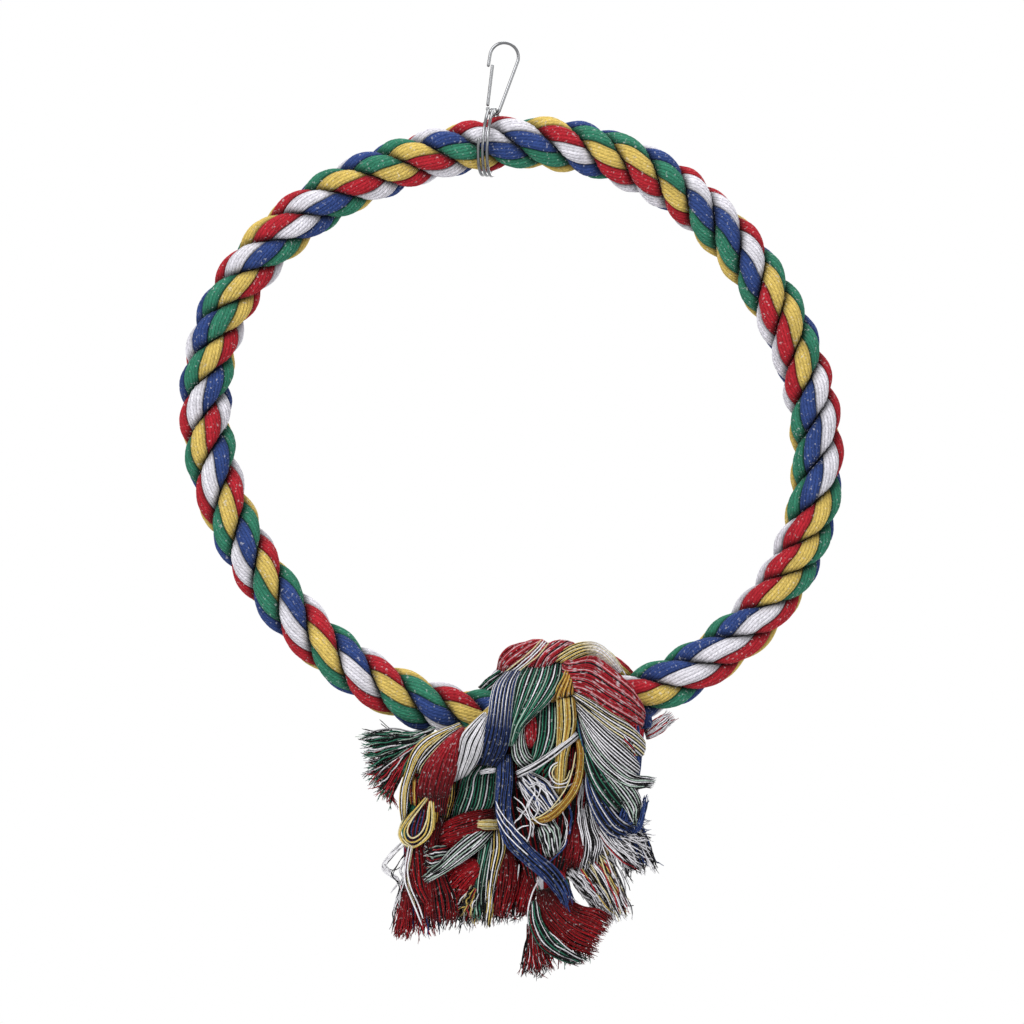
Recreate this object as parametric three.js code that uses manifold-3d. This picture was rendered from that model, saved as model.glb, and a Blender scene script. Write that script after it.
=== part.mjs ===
// Rope ring bird swing: a wire-cored cotton rope bent into a ring, its two ends knotted together and
// frayed out into tassels, hung by a wire coil from a sprung wire clip.
// Millimetres, +Z up, +X to the right, -Y to the front. The origin is where the clip's crown bears on a bar.
import * as THREE from "three";
import { mergeVertices } from "three/addons/utils/BufferGeometryUtils.js";
import Module from "manifold-3d";

const wasm = await Module();
wasm.setup();

// Driving dimensions of the rope ring
const RING_RADIUS = 110; // to the middle of the rope
const ROPE_DIAMETER = 20;
const STRAND_COUNT = 3;
const LAY_LENGTH = 43; // along the rope, for one full turn of a strand
const GROOVE_DEPTH = 2.8; // where two strands meet, below their crests
const CORE_DIAMETER = 2.4; // bendable steel wire inside the rope
const SLEEVE_DIAMETER = 6; // crimped over the two ends of the core
const SLEEVE_LENGTH = 8;
const CORE_END_GAP = 1; // between the two wire ends in the sleeve

// The ring was bent by hand: each wave swells the circle at its lobes, the first of them at turn degrees.
const RING_WAVES = [
  { lobes: 2, swell: 4.1, turn: -20 },
  { lobes: 3, swell: 0.7, turn: 60 },
  { lobes: 4, swell: 1.7, turn: -21 },
];
const KNOT_ANGLE = 281; // degrees round the ring, anticlockwise from the right
const HANGER_ANGLE = 94.7;

// Driving dimensions of the hanger coil and the clip
const WIRE_DIAMETER = 1.2;
const COIL_GAP = 0.45; // between two turns of the coil
const COIL_TURNS = 2.3;
const COIL_SKEW = 12; // degrees that the coil leans across the rope
const COIL_YAW = 9.6; // degrees that its front swings to the left
const CLIP_HEIGHT = 19.4; // from the middle of the lower bend to the middle of the crown
const CROWN_RADIUS = 5.3; // to the middle of the wire
const CROWN_OFFSET = 0.9; // of the crown, to the right of the lower bend
const CLAW_LENGTH = 4.6; // of the crown's straight end, beside the gate
const CLAW_OVERLAP = 1.2; // of the gate's tip, past the end of the claw
const CLIP_LEAN = 9; // degrees to the right

const SEAT_GAP = 0.3; // between pieces that touch
const HANG_TURN = 3.4; // degrees that the swing turns to bring its weight under the clip

// Facets
const STRAND_STEPS_PER_LAY = 9;
const WIRE_SIDES = 8;
const SOFT_SIDES = 10;

const ROPE_RADIUS = ROPE_DIAMETER / 2;
const WIRE_RADIUS = WIRE_DIAMETER / 2;
const UP = new THREE.Vector3(0, 0, 1);
const BACK = new THREE.Vector3(0, 1, 0);
const FRONT = new THREE.Vector3(0, -1, 0);
const radians = THREE.MathUtils.degToRad;
const lerp = THREE.MathUtils.lerp;

const COTTON = { roughness: 0.95, metalness: 0 };
const PLATED = { color: 0xd9dadc, roughness: 0.2, metalness: 1 };
const BRIGHT_STEEL = { color: 0x9fa2a6, roughness: 0.4, metalness: 1 };
const ROPE_COLOURS = [0x1f7a55, 0x27408b, 0xb3202e];
const RED = 0xb3202e;
const GREEN = 0x1f7a55;
const BLUE = 0x27408b;
const YELLOW = 0xd9a93a;
const WHITE = 0xe4e0e6;

// Solids

// A closed skin over rings of points, all with the same number. An edge in turned gets the other diagonal.
function loft(rings, turned = []) {
  const sides = rings[0].length;
  const points = rings.flat();
  const faces = [];
  for (let k = 0; k + 1 < rings.length; k++) {
    for (let i = 0; i < sides; i++) {
      const a = k * sides + i;
      const b = k * sides + ((i + 1) % sides);
      const [c, d] = [a + sides, b + sides];
      if (turned.includes(i)) faces.push(a, b, c, b, d, c);
      else faces.push(a, b, d, a, d, c);
    }
  }
  const last = (rings.length - 1) * sides;
  for (let i = 1; i + 1 < sides; i++) {
    faces.push(0, i + 1, i, last, last + i, last + i + 1);
  }
  const geometry = new THREE.BufferGeometry().setFromPoints(points);
  geometry.setIndex(faces);
  return geometry;
}

function solidOf(geometry) {
  const bare = geometry.clone();
  bare.deleteAttribute("normal");
  bare.deleteAttribute("uv");
  const merged = mergeVertices(bare, 1e-4);
  return new wasm.Manifold(
    new wasm.Mesh({
      numProp: 3,
      vertProperties: merged.attributes.position.array,
      triVerts: new Uint32Array(merged.index.array),
    }),
  );
}

function geometryOf(solid) {
  const mesh = solid.getMesh();
  const geometry = new THREE.BufferGeometry();
  geometry.setAttribute("position", new THREE.BufferAttribute(mesh.vertProperties, 3));
  geometry.setIndex(new THREE.BufferAttribute(mesh.triVerts, 1));
  return geometry;
}

// The largest piece of a solid once the others are cut out of it.
function clearOf(solid, cutters) {
  const cut = cutters.reduce((rest, cutter) => rest.subtract(cutter), solid);
  return cut.decompose().sort((a, b) => b.volume() - a.volume())[0];
}

// A round wire along a curve.
function wire(curve, diameter, steps) {
  const section = new THREE.Shape();
  section.absarc(0, 0, diameter / 2, 0, 2 * Math.PI);
  return new THREE.ExtrudeGeometry(section, {
    extrudePath: curve,
    steps,
    curveSegments: WIRE_SIDES / 2,
    bevelEnabled: false,
  });
}

function piece(name, geometry, look) {
  const mesh = new THREE.Mesh(geometry, new THREE.MeshStandardMaterial(look));
  mesh.name = name;
  return mesh;
}

// The middle of the rope, from the knot anticlockwise round to the knot again

function ringPoint(degrees) {
  const swell = RING_WAVES.reduce(
    (sum, wave) => sum + wave.swell * Math.cos(wave.lobes * radians(degrees - wave.turn)),
    0,
  );
  const angle = radians(degrees);
  return new THREE.Vector3(Math.cos(angle), 0, Math.sin(angle)).multiplyScalar(RING_RADIUS + swell);
}

class RingLine extends THREE.Curve {
  constructor(halfGap) {
    super();
    const inset = THREE.MathUtils.radToDeg(halfGap / RING_RADIUS);
    this.from = KNOT_ANGLE - 360 + inset;
    this.to = KNOT_ANGLE - inset;
    this.arcLengthDivisions = 720;
  }
  getPoint(t, target = new THREE.Vector3()) {
    return target.copy(ringPoint(lerp(this.from, this.to, t)));
  }
}

// Outward normal of the rope's line in the plane of the ring
const outward = (tangent) => new THREE.Vector3().crossVectors(BACK, tangent);

// Rope: strands laid round the core, each filling its share of the rope's section

// Where the crest's corners lie between the grooves to its two sides
const CREST_SHARES = [-1, -0.68, -0.26, 0.26, 0.68, 1];

// One strand's outline in the rope's section, as a distance from the rope's axis and an angle from the crest.
function strandOutline() {
  const bore = (CORE_DIAMETER / 2 + SEAT_GAP) / Math.cos(Math.PI / STRAND_COUNT);
  const edge = (radius) => Math.PI / STRAND_COUNT - Math.asin(SEAT_GAP / 2 / radius);
  const widest = edge(ROPE_RADIUS - GROOVE_DEPTH);
  const crest = CREST_SHARES.map((share) => ({
    radius: ROPE_RADIUS - GROOVE_DEPTH * Math.abs(share) ** 3,
    angle: share * widest,
  }));
  const inner = [1, -1].map((side) => ({ radius: bore, angle: side * edge(bore) }));
  return [...crest, ...inner];
}

function ropeStrand(index) {
  const line = new RingLine(SLEEVE_LENGTH / 2 + SEAT_GAP);
  const outline = strandOutline();
  const length = line.getLength();
  const steps = Math.ceil((length / LAY_LENGTH) * STRAND_STEPS_PER_LAY);
  const rings = [];
  for (let k = 0; k <= steps; k++) {
    const middle = line.getPointAt(k / steps);
    const normal = outward(line.getTangentAt(k / steps));
    const turn = 2 * Math.PI * ((length * k) / steps / LAY_LENGTH + index / STRAND_COUNT);
    rings.push(
      outline.map(({ radius, angle }) =>
        middle
          .clone()
          .addScaledVector(normal, radius * Math.cos(angle + turn))
          .addScaledVector(BACK, radius * Math.sin(angle + turn)),
      ),
    );
  }
  // On the crest the diagonals follow the lay; the wall towards the strand before takes that strand's own.
  const crestEdges = outline.slice(0, CREST_SHARES.length - 1).map((_, edge) => edge);
  return loft(rings, [...crestEdges, outline.length - 1]);
}

function coreWire() {
  const line = new RingLine(CORE_END_GAP / 2);
  return wire(line, CORE_DIAMETER, 60);
}

// A tube over the core's ends, its bore a seat gap wider than the wire.
function coreSleeve() {
  const bore = CORE_DIAMETER / 2 + SEAT_GAP;
  const half = SLEEVE_LENGTH / 2;
  const outline = [
    [bore, -half],
    [SLEEVE_DIAMETER / 2, -half],
    [SLEEVE_DIAMETER / 2, half],
    [bore, half],
    [bore, -half],
  ].map(([radius, along]) => new THREE.Vector2(radius, along));
  return new THREE.LatheGeometry(outline, 16);
}

// Knot and tassels: places and sizes are in rope diameters, measured to the right, back and up from the
// rope's axis at the knot, because a knot grows with its rope. A strand is a flattened tube along its route;
// it lies flat on the rope, or faces the front where it hangs.

const KNOT_CENTRE = ringPoint(KNOT_ANGLE);
const knotPoint = ([right, back, up]) =>
  new THREE.Vector3(right, back, up).multiplyScalar(ROPE_DIAMETER).add(KNOT_CENTRE);

const KNOT_STRANDS = {
  left_wrap: {
    route: [
      [0.02, 0.8, -0.35], [-0.05, 0.8, 0.25], [-0.12, 0.3, 0.78], [-0.22, -0.35, 0.86],
      [-0.62, -0.85, 0.55], [-1.22, -1.02, 0], [-1.75, -1.06, -0.52], [-2.3, -1, -0.9],
      [-2.72, -0.92, -1.35], [-2.86, -0.85, -1.95], [-2.8, -0.82, -2.5],
    ],
    halfWidth: [0.3, 0.3, 0.32, 0.4, 0.5, 0.54, 0.52, 0.48, 0.44, 0.38, 0.36],
    halfHeight: [0.2, 0.2, 0.18, 0.24, 0.28, 0.28, 0.28, 0.28, 0.28, 0.28, 0.26],
    colour: BLUE,
    tassel: {
      name: "tassel_lower_left", tip: [-2.72, -0.84, -4.02],
      spread: 0.6, depth: 0.2, locks: 12, colour: RED,
    },
  },
  right_wrap: {
    route: [
      [0.62, 0.8, -0.35], [0.55, 0.8, 0.25], [0.5, 0.3, 0.78], [0.42, -0.35, 0.84],
      [0.66, -0.85, 0.48], [0.92, -1.02, -0.1], [1.02, -1.05, -0.72], [0.98, -1, -1.35],
      [0.98, -0.94, -1.8],
    ],
    halfWidth: [0.28, 0.28, 0.3, 0.36, 0.5, 0.58, 0.58, 0.54, 0.46],
    halfHeight: [0.2, 0.2, 0.18, 0.24, 0.28, 0.3, 0.3, 0.3, 0.28],
    colour: GREEN,
    tassel: {
      name: "tassel_right", tip: [1.34, -0.96, -2.85],
      spread: 0.62, depth: 0.22, locks: 12, colour: BLUE,
    },
  },
  top_wrap: {
    route: [
      [1, -0.35, -0.95], [1.25, 0.2, -0.9], [1.4, 0.78, -0.35], [1.3, 0.72, 0.4],
      [0.75, 0.14, 1.02], [0.1, 0.02, 1.16], [-0.55, 0.04, 1.14], [-1.05, 0.25, 0.9],
      [-1.45, 0.75, 0.3], [-1.6, 0.86, -0.3], [-1.85, 0.4, -0.88], [-2.35, -0.2, -0.78],
    ],
    halfWidth: [0.3, 0.32, 0.36, 0.4, 0.45, 0.45, 0.45, 0.42, 0.38, 0.34, 0.3, 0.28],
    halfHeight: [0.24, 0.24, 0.24, 0.24, 0.24, 0.24, 0.24, 0.24, 0.22, 0.22, 0.25, 0.28],
    colour: RED,
    tassel: {
      name: "tassel_left", tip: [-3.74, -0.3, -0.9],
      spread: 0.8, depth: 0.22, locks: 13, colour: GREEN,
    },
  },
  middle_strand: {
    route: [
      [0.05, -0.74, 0.46], [-0.26, -0.78, -0.15], [-0.36, -0.8, -0.8], [-0.45, -0.8, -1.35],
      [-0.46, -0.8, -2], [-0.42, -0.78, -2.65], [-0.3, -0.76, -3.15],
    ],
    halfWidth: [0.34, 0.54, 0.62, 0.56, 0.46, 0.4, 0.36],
    halfHeight: [0.16, 0.22, 0.26, 0.26, 0.26, 0.26, 0.26],
    hangs: true,
    colour: GREEN,
    tassel: {
      name: "tassel_bottom", tip: [0.06, -0.8, -4.55],
      spread: 0.8, depth: 0.22, locks: 14, colour: RED,
    },
  },
  under_strand: {
    route: [
      [0, 0.79, -0.42], [-0.25, 0.6, -0.86], [-0.75, 0.25, -1.04], [-1.15, -0.02, -1.16],
      [-1.5, -0.28, -1.42], [-1.85, -0.4, -1.78], [-1.95, -0.4, -2.2], [-1.85, -0.34, -2.6],
    ],
    halfWidth: [0.3, 0.34, 0.4, 0.46, 0.5, 0.52, 0.5, 0.46],
    halfHeight: [0.2, 0.22, 0.22, 0.24, 0.26, 0.26, 0.26, 0.26],
    hangs: true,
    colour: RED,
    tassel: {
      name: "tassel_middle", tip: [-1.62, -0.3, -3.85],
      spread: 0.84, depth: 0.2, locks: 14, colour: RED,
    },
  },
  back_strand: {
    route: [
      [0.63, 0.79, -0.42], [0.6, 0.62, -0.86], [0.52, 0.28, -1.16], [0.48, 0, -1.55],
      [0.5, -0.16, -2], [0.52, -0.2, -2.4],
    ],
    halfWidth: [0.28, 0.32, 0.36, 0.4, 0.42, 0.4],
    halfHeight: [0.2, 0.22, 0.24, 0.26, 0.26, 0.26],
    hangs: true,
    colour: WHITE,
    tassel: {
      name: "tassel_lower_right", tip: [0.8, -0.18, -3.75],
      spread: 0.56, depth: 0.2, locks: 12, colour: WHITE,
    },
  },
};
const STRAND_RINGS = 18;
const WRAP_LIMIT = -0.4; // below this height a wrap keeps the tilt that it has there

// Locks of yarn that have come out of the left wrap and hang in front of the knot.
const LOOSE_LOCKS = {
  loose_lock: {
    route: [
      [-1.22, -1.04, -0.68], [-1.22, -1.1, -1.32], [-1.22, -1.14, -1.98], [-0.91, -1.22, -2.6],
      [-0.475, -1.24, -2.99], [0, -1.26, -3.5],
    ],
    half: 0.11,
    colour: BLUE,
  },
  yarn_loop: {
    route: [
      [-2.5, -1.06, -1.3], [-2.93, -1.3, -1.95], [-3.11, -1.3, -2.3], [-2.93, -1.26, -2.52],
      [-2.62, -1.28, -2.22], [-2.46, -1.02, -1.6],
    ],
    half: 0.08,
    colour: YELLOW,
  },
};

// A value of a list at a share of its length, between the two nearest.
function between(list, share) {
  const place = share * (list.length - 1);
  const index = Math.min(Math.floor(place), list.length - 2);
  return lerp(list[index], list[index + 1], place - index);
}

const routeCurve = (route) => new THREE.CatmullRomCurve3(route.map(knotPoint), false, "centripetal");

// The strand's sections along its route: across is the way of its width, lift that of its height.
function strandSections({ route, halfWidth, halfHeight, hangs }, grow) {
  const path = routeCurve(route);
  const sections = [];
  for (let k = 0; k < STRAND_RINGS; k++) {
    const share = k / (STRAND_RINGS - 1);
    const middle = path.getPoint(share);
    const along = path.getTangent(share);
    const away = middle.clone().sub(KNOT_CENTRE).setX(0);
    away.z = Math.max(away.z, WRAP_LIMIT * ROPE_DIAMETER);
    const across = new THREE.Vector3().crossVectors(hangs ? FRONT : away, along).normalize();
    const lift = new THREE.Vector3().crossVectors(along, across);
    const width = between(halfWidth, share) * ROPE_DIAMETER + grow;
    const height = between(halfHeight, share) * ROPE_DIAMETER + grow;
    sections.push({ middle, along, across, lift, width, height });
  }
  return sections;
}

function sectionRing({ middle, across, lift, width, height }, sides = SOFT_SIDES) {
  const ring = [];
  for (let i = 0; i < sides; i++) {
    const angle = (2 * Math.PI * (i + 0.5)) / sides;
    ring.push(
      middle
        .clone()
        .addScaledVector(across, width * Math.cos(angle))
        .addScaledVector(lift, height * Math.sin(angle)),
    );
  }
  return ring;
}

function strandSolid(strand, grow = 0) {
  const sections = strandSections(strand, grow);
  sections[0].middle.addScaledVector(sections[0].along, -grow);
  const last = sections.at(-1);
  last.middle.addScaledVector(last.along, grow);
  return solidOf(loft(sections.map((section) => sectionRing(section))));
}

// The space that the rope fills at the knot, with a seat gap round it.
const KNOT_SPAN = 4; // to each side of the knot
function ropeSpace() {
  const line = new RingLine(0);
  const span = (KNOT_SPAN * ROPE_DIAMETER) / line.getLength();
  const radius = (ROPE_RADIUS + SEAT_GAP) / Math.cos(Math.PI / SOFT_SIDES);
  const rings = [];
  for (let k = 0; k <= STRAND_RINGS; k++) {
    const share = (lerp(1 - span, 1 + span, k / STRAND_RINGS) + 1) % 1;
    const across = outward(line.getTangentAt(share));
    const middle = line.getPointAt(share);
    rings.push(sectionRing({ middle, across, lift: BACK, width: radius, height: radius }));
  }
  return solidOf(loft(rings));
}

// A frayed end: locks of yarn in two layers that fan out from the end of a strand, joined at their root.
const LOCK_STEPS = 3;
const LOCK_SIDES = 3;
const LOCK_ROOT = 0.11; // half-thickness
const LOCK_TIP = 0.05;
const PLUG_SHARE = 0.16; // of the tassel's length, for the root that joins its locks

function tasselSolid(strand, tassel) {
  const end = strandSections(strand, 0).at(-1);
  const root = end.middle.clone().addScaledVector(end.along, SEAT_GAP);
  const heading = knotPoint(tassel.tip).sub(root);
  const across = new THREE.Vector3().crossVectors(FRONT, heading).normalize();
  const lift = new THREE.Vector3().crossVectors(heading, across).normalize();
  const down = (share) => root.clone().addScaledVector(end.along, share * heading.length());
  const plug = [0, PLUG_SHARE].map((share) => sectionRing({ ...end, middle: down(share) }));
  const parts = [solidOf(loft(plug))];
  for (let i = 0; i < tassel.locks; i++) {
    const fan = ((i + 0.5) / tassel.locks) * 2 - 1;
    const layer = i % 2 ? 1 : -1;
    const uneven = 1 + 0.08 * Math.sin(5 * i) - 0.14 * fan * fan;
    const start = down(PLUG_SHARE / 3)
      .addScaledVector(across, 0.7 * fan * end.width)
      .addScaledVector(lift, 0.35 * layer * end.height);
    const knee = start
      .clone()
      .addScaledVector(end.along, 0.4 * heading.length())
      .addScaledVector(across, 0.2 * fan * tassel.spread * ROPE_DIAMETER);
    const stop = root
      .clone()
      .addScaledVector(heading, uneven)
      .addScaledVector(across, fan * tassel.spread * ROPE_DIAMETER)
      .addScaledVector(lift, layer * tassel.depth * ROPE_DIAMETER);
    const path = new THREE.QuadraticBezierCurve3(start, knee, stop);
    const rings = [];
    for (let k = 0; k <= LOCK_STEPS; k++) {
      const share = k / LOCK_STEPS;
      const middle = path.getPoint(share);
      const along = path.getTangent(share);
      const side = new THREE.Vector3().crossVectors(lift, along).normalize();
      const rise = new THREE.Vector3().crossVectors(along, side);
      const half = lerp(LOCK_ROOT, LOCK_TIP, share) * ROPE_DIAMETER;
      rings.push(sectionRing({ middle, across: side, lift: rise, width: half, height: half }, LOCK_SIDES));
    }
    parts.push(solidOf(loft(rings)));
  }
  return parts.reduce((sum, part) => sum.add(part));
}

function knotPieces() {
  const pieces = [];
  const taken = [ropeSpace()];
  const add = (name, solid, color) =>
    pieces.push(piece(name, geometryOf(clearOf(solid, taken)), { ...COTTON, color }));
  for (const [name, strand] of Object.entries(KNOT_STRANDS)) {
    add(`knot_${name}`, strandSolid(strand), strand.colour);
    taken.push(strandSolid(strand, SEAT_GAP));
  }
  for (const strand of Object.values(KNOT_STRANDS)) {
    add(strand.tassel.name, tasselSolid(strand, strand.tassel), strand.tassel.colour);
  }
  for (const [name, { route, half, colour }] of Object.entries(LOOSE_LOCKS)) {
    add(name, solidOf(wire(routeCurve(route), 2 * half * ROPE_DIAMETER, 14)), colour);
  }
  return pieces;
}

// Hanger coil: two turns pass through the clip's lower bend, and three lie under the rope

const COIL_PITCH = WIRE_DIAMETER + COIL_GAP;
const BEND_BORE = COIL_PITCH / 2 + WIRE_RADIUS + SEAT_GAP; // inner radius of the clip's lower bend
const BEND_RADIUS = BEND_BORE + WIRE_RADIUS;
const skew = radians(COIL_SKEW);
const ropeReach = (BEND_BORE + WIRE_DIAMETER + SEAT_GAP + ROPE_RADIUS) / Math.cos(skew);
const COIL_RADIUS =
  (ropeReach +
    ROPE_RADIUS / Math.cos(skew) +
    (COIL_PITCH + WIRE_RADIUS) * Math.tan(skew) +
    SEAT_GAP +
    WIRE_RADIUS) / 2;

class Coil extends THREE.Curve {
  // Turn 0 is at the front; the coil goes down, back and up as it winds to the right.
  getPoint(t, target = new THREE.Vector3()) {
    const turn = t * COIL_TURNS;
    const angle = 2 * Math.PI * turn;
    const shift = (turn - 1.25) * COIL_PITCH;
    return target.set(shift, -COIL_RADIUS * Math.cos(angle), -COIL_RADIUS * Math.sin(angle));
  }
}

function leastGap(curve, turns, diameter) {
  const count = 240;
  const points = curve.getPoints(count);
  let least = Infinity;
  for (let i = 0; i <= count; i++) {
    for (let j = i + Math.ceil((0.5 * count) / turns); j <= count; j++) {
      least = Math.min(least, points[i].distanceTo(points[j]) - diameter);
    }
  }
  return least;
}

// Clip: one wire with a claw, a crown, a straight back and a lower bend; the gate is its sprung free leg

class Arc extends THREE.Curve {
  constructor(centre, radius, from, to) {
    super();
    Object.assign(this, { centre, radius, from, to });
  }
  getPoint(t, target = new THREE.Vector3()) {
    const angle = lerp(this.from, this.to, t);
    return target.set(
      this.centre.x + this.radius * Math.cos(angle),
      0,
      this.centre.z + this.radius * Math.sin(angle),
    );
  }
}

const crown = new THREE.Vector3(CROWN_OFFSET, 0, CLIP_HEIGHT);
// Direction of the radius where the straight back touches both the lower bend and the crown
const backAngle =
  Math.atan2(crown.z, crown.x) -
  Math.acos((BEND_RADIUS - CROWN_RADIUS) / crown.length());

function clipHook() {
  const claw = new THREE.Vector3(crown.x - CROWN_RADIUS, 0, crown.z);
  const crownArc = new Arc(crown, CROWN_RADIUS, Math.PI, backAngle);
  const bendArc = new Arc(new THREE.Vector3(), BEND_RADIUS, backAngle, -Math.PI);
  const path = new THREE.CurvePath();
  path.add(new THREE.LineCurve3(claw.clone().addScaledVector(UP, -CLAW_LENGTH), claw));
  path.add(crownArc);
  path.add(new THREE.LineCurve3(crownArc.getPoint(1), bendArc.getPoint(0)));
  path.add(bendArc);
  return wire(path, WIRE_DIAMETER, 44);
}

const gateFoot = new THREE.Vector3(-BEND_RADIUS, 0, SEAT_GAP);
function clipGate() {
  const clawInside = crown.x - CROWN_RADIUS + WIRE_DIAMETER + SEAT_GAP;
  const tip = new THREE.Vector3(clawInside, 0, crown.z - CLAW_LENGTH + CLAW_OVERLAP);
  return wire(new THREE.LineCurve3(gateFoot, tip), WIRE_DIAMETER, 1);
}

// Assembly: the coil hangs the ring from the clip, and the clip's crown bears at the origin

const hangerLine = new RingLine(0);
const hangerPoint = ringPoint(HANGER_ANGLE);
const hangerShare = (HANGER_ANGLE - hangerLine.from) / (hangerLine.to - hangerLine.from);
const coilUp = outward(hangerLine.getTangent(hangerShare)).applyAxisAngle(BACK, skew);
const pivot = hangerPoint.clone().addScaledVector(coilUp, ropeReach);

const ropeRing = new THREE.Group();
for (let i = 0; i < STRAND_COUNT; i++) {
  ropeRing.add(piece(`rope_strand_${i + 1}`, ropeStrand(i), { ...COTTON, color: ROPE_COLOURS[i] }));
}
ropeRing.add(piece("core_wire", coreWire(), BRIGHT_STEEL));
const sleeve = piece("core_sleeve", coreSleeve(), BRIGHT_STEEL);
sleeve.position.copy(KNOT_CENTRE);
sleeve.quaternion.setFromUnitVectors(new THREE.Vector3(0, 1, 0), hangerLine.getTangent(1));
ropeRing.add(sleeve, ...knotPieces());

const coil = new Coil();
const hanger = new THREE.Group();
hanger.add(piece("hanger_coil", wire(coil, WIRE_DIAMETER, 42), PLATED));
hanger.position.copy(pivot).addScaledVector(coilUp, -COIL_RADIUS);
hanger.quaternion
  .setFromUnitVectors(UP, coilUp)
  .multiply(new THREE.Quaternion().setFromAxisAngle(UP, -radians(COIL_YAW)));
const turnGap = leastGap(coil, COIL_TURNS, WIRE_DIAMETER);
console.log("least gap between turns of the coil:", turnGap.toFixed(2), "mm");

const clip = new THREE.Group();
clip.add(piece("clip_hook", clipHook(), PLATED), piece("clip_gate", clipGate(), PLATED));
clip.position.copy(pivot);
clip.rotation.y = radians(CLIP_LEAN);

const swing = new THREE.Group();
swing.add(ropeRing, hanger, clip);
const hangUp = UP.clone().applyAxisAngle(BACK, -radians(HANG_TURN));
const bearing = crown
  .clone()
  .applyAxisAngle(BACK, radians(CLIP_LEAN))
  .addScaledVector(hangUp, CROWN_RADIUS - WIRE_RADIUS)
  .add(pivot);
swing.position.copy(bearing).negate();

const part = new THREE.Group();
part.add(swing);
part.rotation.y = radians(HANG_TURN);

export default part;
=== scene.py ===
import math

import bpy
import numpy as np
from mathutils import Matrix


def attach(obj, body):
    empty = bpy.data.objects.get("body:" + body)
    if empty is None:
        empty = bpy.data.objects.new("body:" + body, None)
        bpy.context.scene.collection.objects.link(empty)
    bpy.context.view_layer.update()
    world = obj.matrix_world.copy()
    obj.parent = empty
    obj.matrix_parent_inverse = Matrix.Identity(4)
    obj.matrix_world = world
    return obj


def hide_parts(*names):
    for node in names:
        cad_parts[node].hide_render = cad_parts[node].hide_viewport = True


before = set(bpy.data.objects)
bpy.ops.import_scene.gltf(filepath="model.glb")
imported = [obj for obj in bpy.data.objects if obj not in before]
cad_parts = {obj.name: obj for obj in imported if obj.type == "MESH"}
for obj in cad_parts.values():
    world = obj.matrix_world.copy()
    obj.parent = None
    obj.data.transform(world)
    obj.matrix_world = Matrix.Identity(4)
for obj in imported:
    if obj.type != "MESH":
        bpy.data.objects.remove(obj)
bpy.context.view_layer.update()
rng = np.random.default_rng(7)

# Everything below is worked out in millimetres and put into the meshes in metres.
# ringPlace is the rope ring's own centre and lean: x to the right, y to the back, z up.
ringPlace = {"centre": (-4.8282, 0.0, -143.5506), "lean": 3.4}
lean = math.radians(ringPlace["lean"])
ringRight = np.array([math.cos(lean), 0, -math.sin(lean)])
ringUp = np.array([math.sin(lean), 0, math.cos(lean)])
back = np.array([0.0, 1.0, 0.0])
ringMiddle = np.array(ringPlace["centre"])
ringAxes = np.array([ringRight, back, ringUp])


def inRing(points):
    return ringMiddle + points @ ringAxes


def unit(vectors):
    return vectors / np.maximum(np.linalg.norm(vectors, axis=-1, keepdims=True), 1e-9)


# Camera, floor and light

view = {"distance": 1500, "width": 381, "aim": (-0.5, 0, -30.4), "sensor": 36}
lens = bpy.data.cameras.new("camera")
lens.sensor_width = view["sensor"]
lens.lens = view["sensor"] * view["distance"] / view["width"]
camera = bpy.data.objects.new("camera", lens)
bpy.context.collection.objects.link(camera)
aim = inRing(np.array(view["aim"]))
eye = (aim - view["distance"] * back) / 1000
axes = np.array([ringRight, ringUp, -back])
camera.matrix_world = Matrix.Translation(eye.tolist()) @ Matrix(axes.T.tolist()).to_4x4()
bpy.context.scene.camera = camera
bpy.context.scene.view_settings.view_transform = "Standard"
print("camera set")


# Shader values: a socket with Python's operators, so that an expression adds its Math nodes
class Value:
    def __init__(self, tree, socket):
        self.tree, self.socket = tree, socket

    def math(self, operation, other=0.0):
        node = self.tree.nodes.new("ShaderNodeMath")
        node.operation = operation
        for port, value in zip(node.inputs, (self, other)):
            plug(self.tree, port, value)
        return Value(self.tree, node.outputs[0])

    def __add__(self, other):
        return self.math("ADD", other)

    def __mul__(self, other):
        return self.math("MULTIPLY", other)

    def __sub__(self, other):
        return self.math("SUBTRACT", other)

    __radd__ = __add__
    __rmul__ = __mul__


def plug(tree, port, value):
    if isinstance(value, Value):
        tree.links.new(value.socket, port)
    else:
        port.default_value = value


class Finish:
    def __init__(self, holder):
        holder.use_nodes = True
        self.holder, self.tree = holder, holder.node_tree
        self.tree.nodes.clear()

    def node(self, kind, settings=None, inputs=None, output=0):
        made = self.tree.nodes.new("ShaderNode" + kind)
        for key, value in (settings or {}).items():
            setattr(made, key, value)
        for key, value in (inputs or {}).items():
            plug(self.tree, made.inputs[key], value)
        return Value(self.tree, made.outputs[output])

    def output(self, surface, kind="OutputMaterial"):
        end = self.tree.nodes.new("ShaderNode" + kind)
        plug(self.tree, end.inputs["Surface"], surface)
        return self.holder


def newFinish(name):
    return Finish(bpy.data.materials.new(name))


studio = {
    "ambient": (0.9, 0.93, 1.0, 1), "ambientStrength": 0.24,
    "floorHeight": -560, "floorReach": 1200, "floorColour": (0.8, 0.8, 0.8, 1),
    # name, place, size and power; all of them face lampAim
    "lampAim": (0, 0, -30),
    "lamps": [
        ("keyLamp", (-930, -1350, 930), 1140, 28.0),
        ("fillLamp", (1300, -1250, 200), 1200, 9.4),
        ("topLamp", (150, 150, 900), 700, 5.5),
        ("backLamp", (450, 1350, 750), 1050, 9.0),
    ],
}


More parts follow.
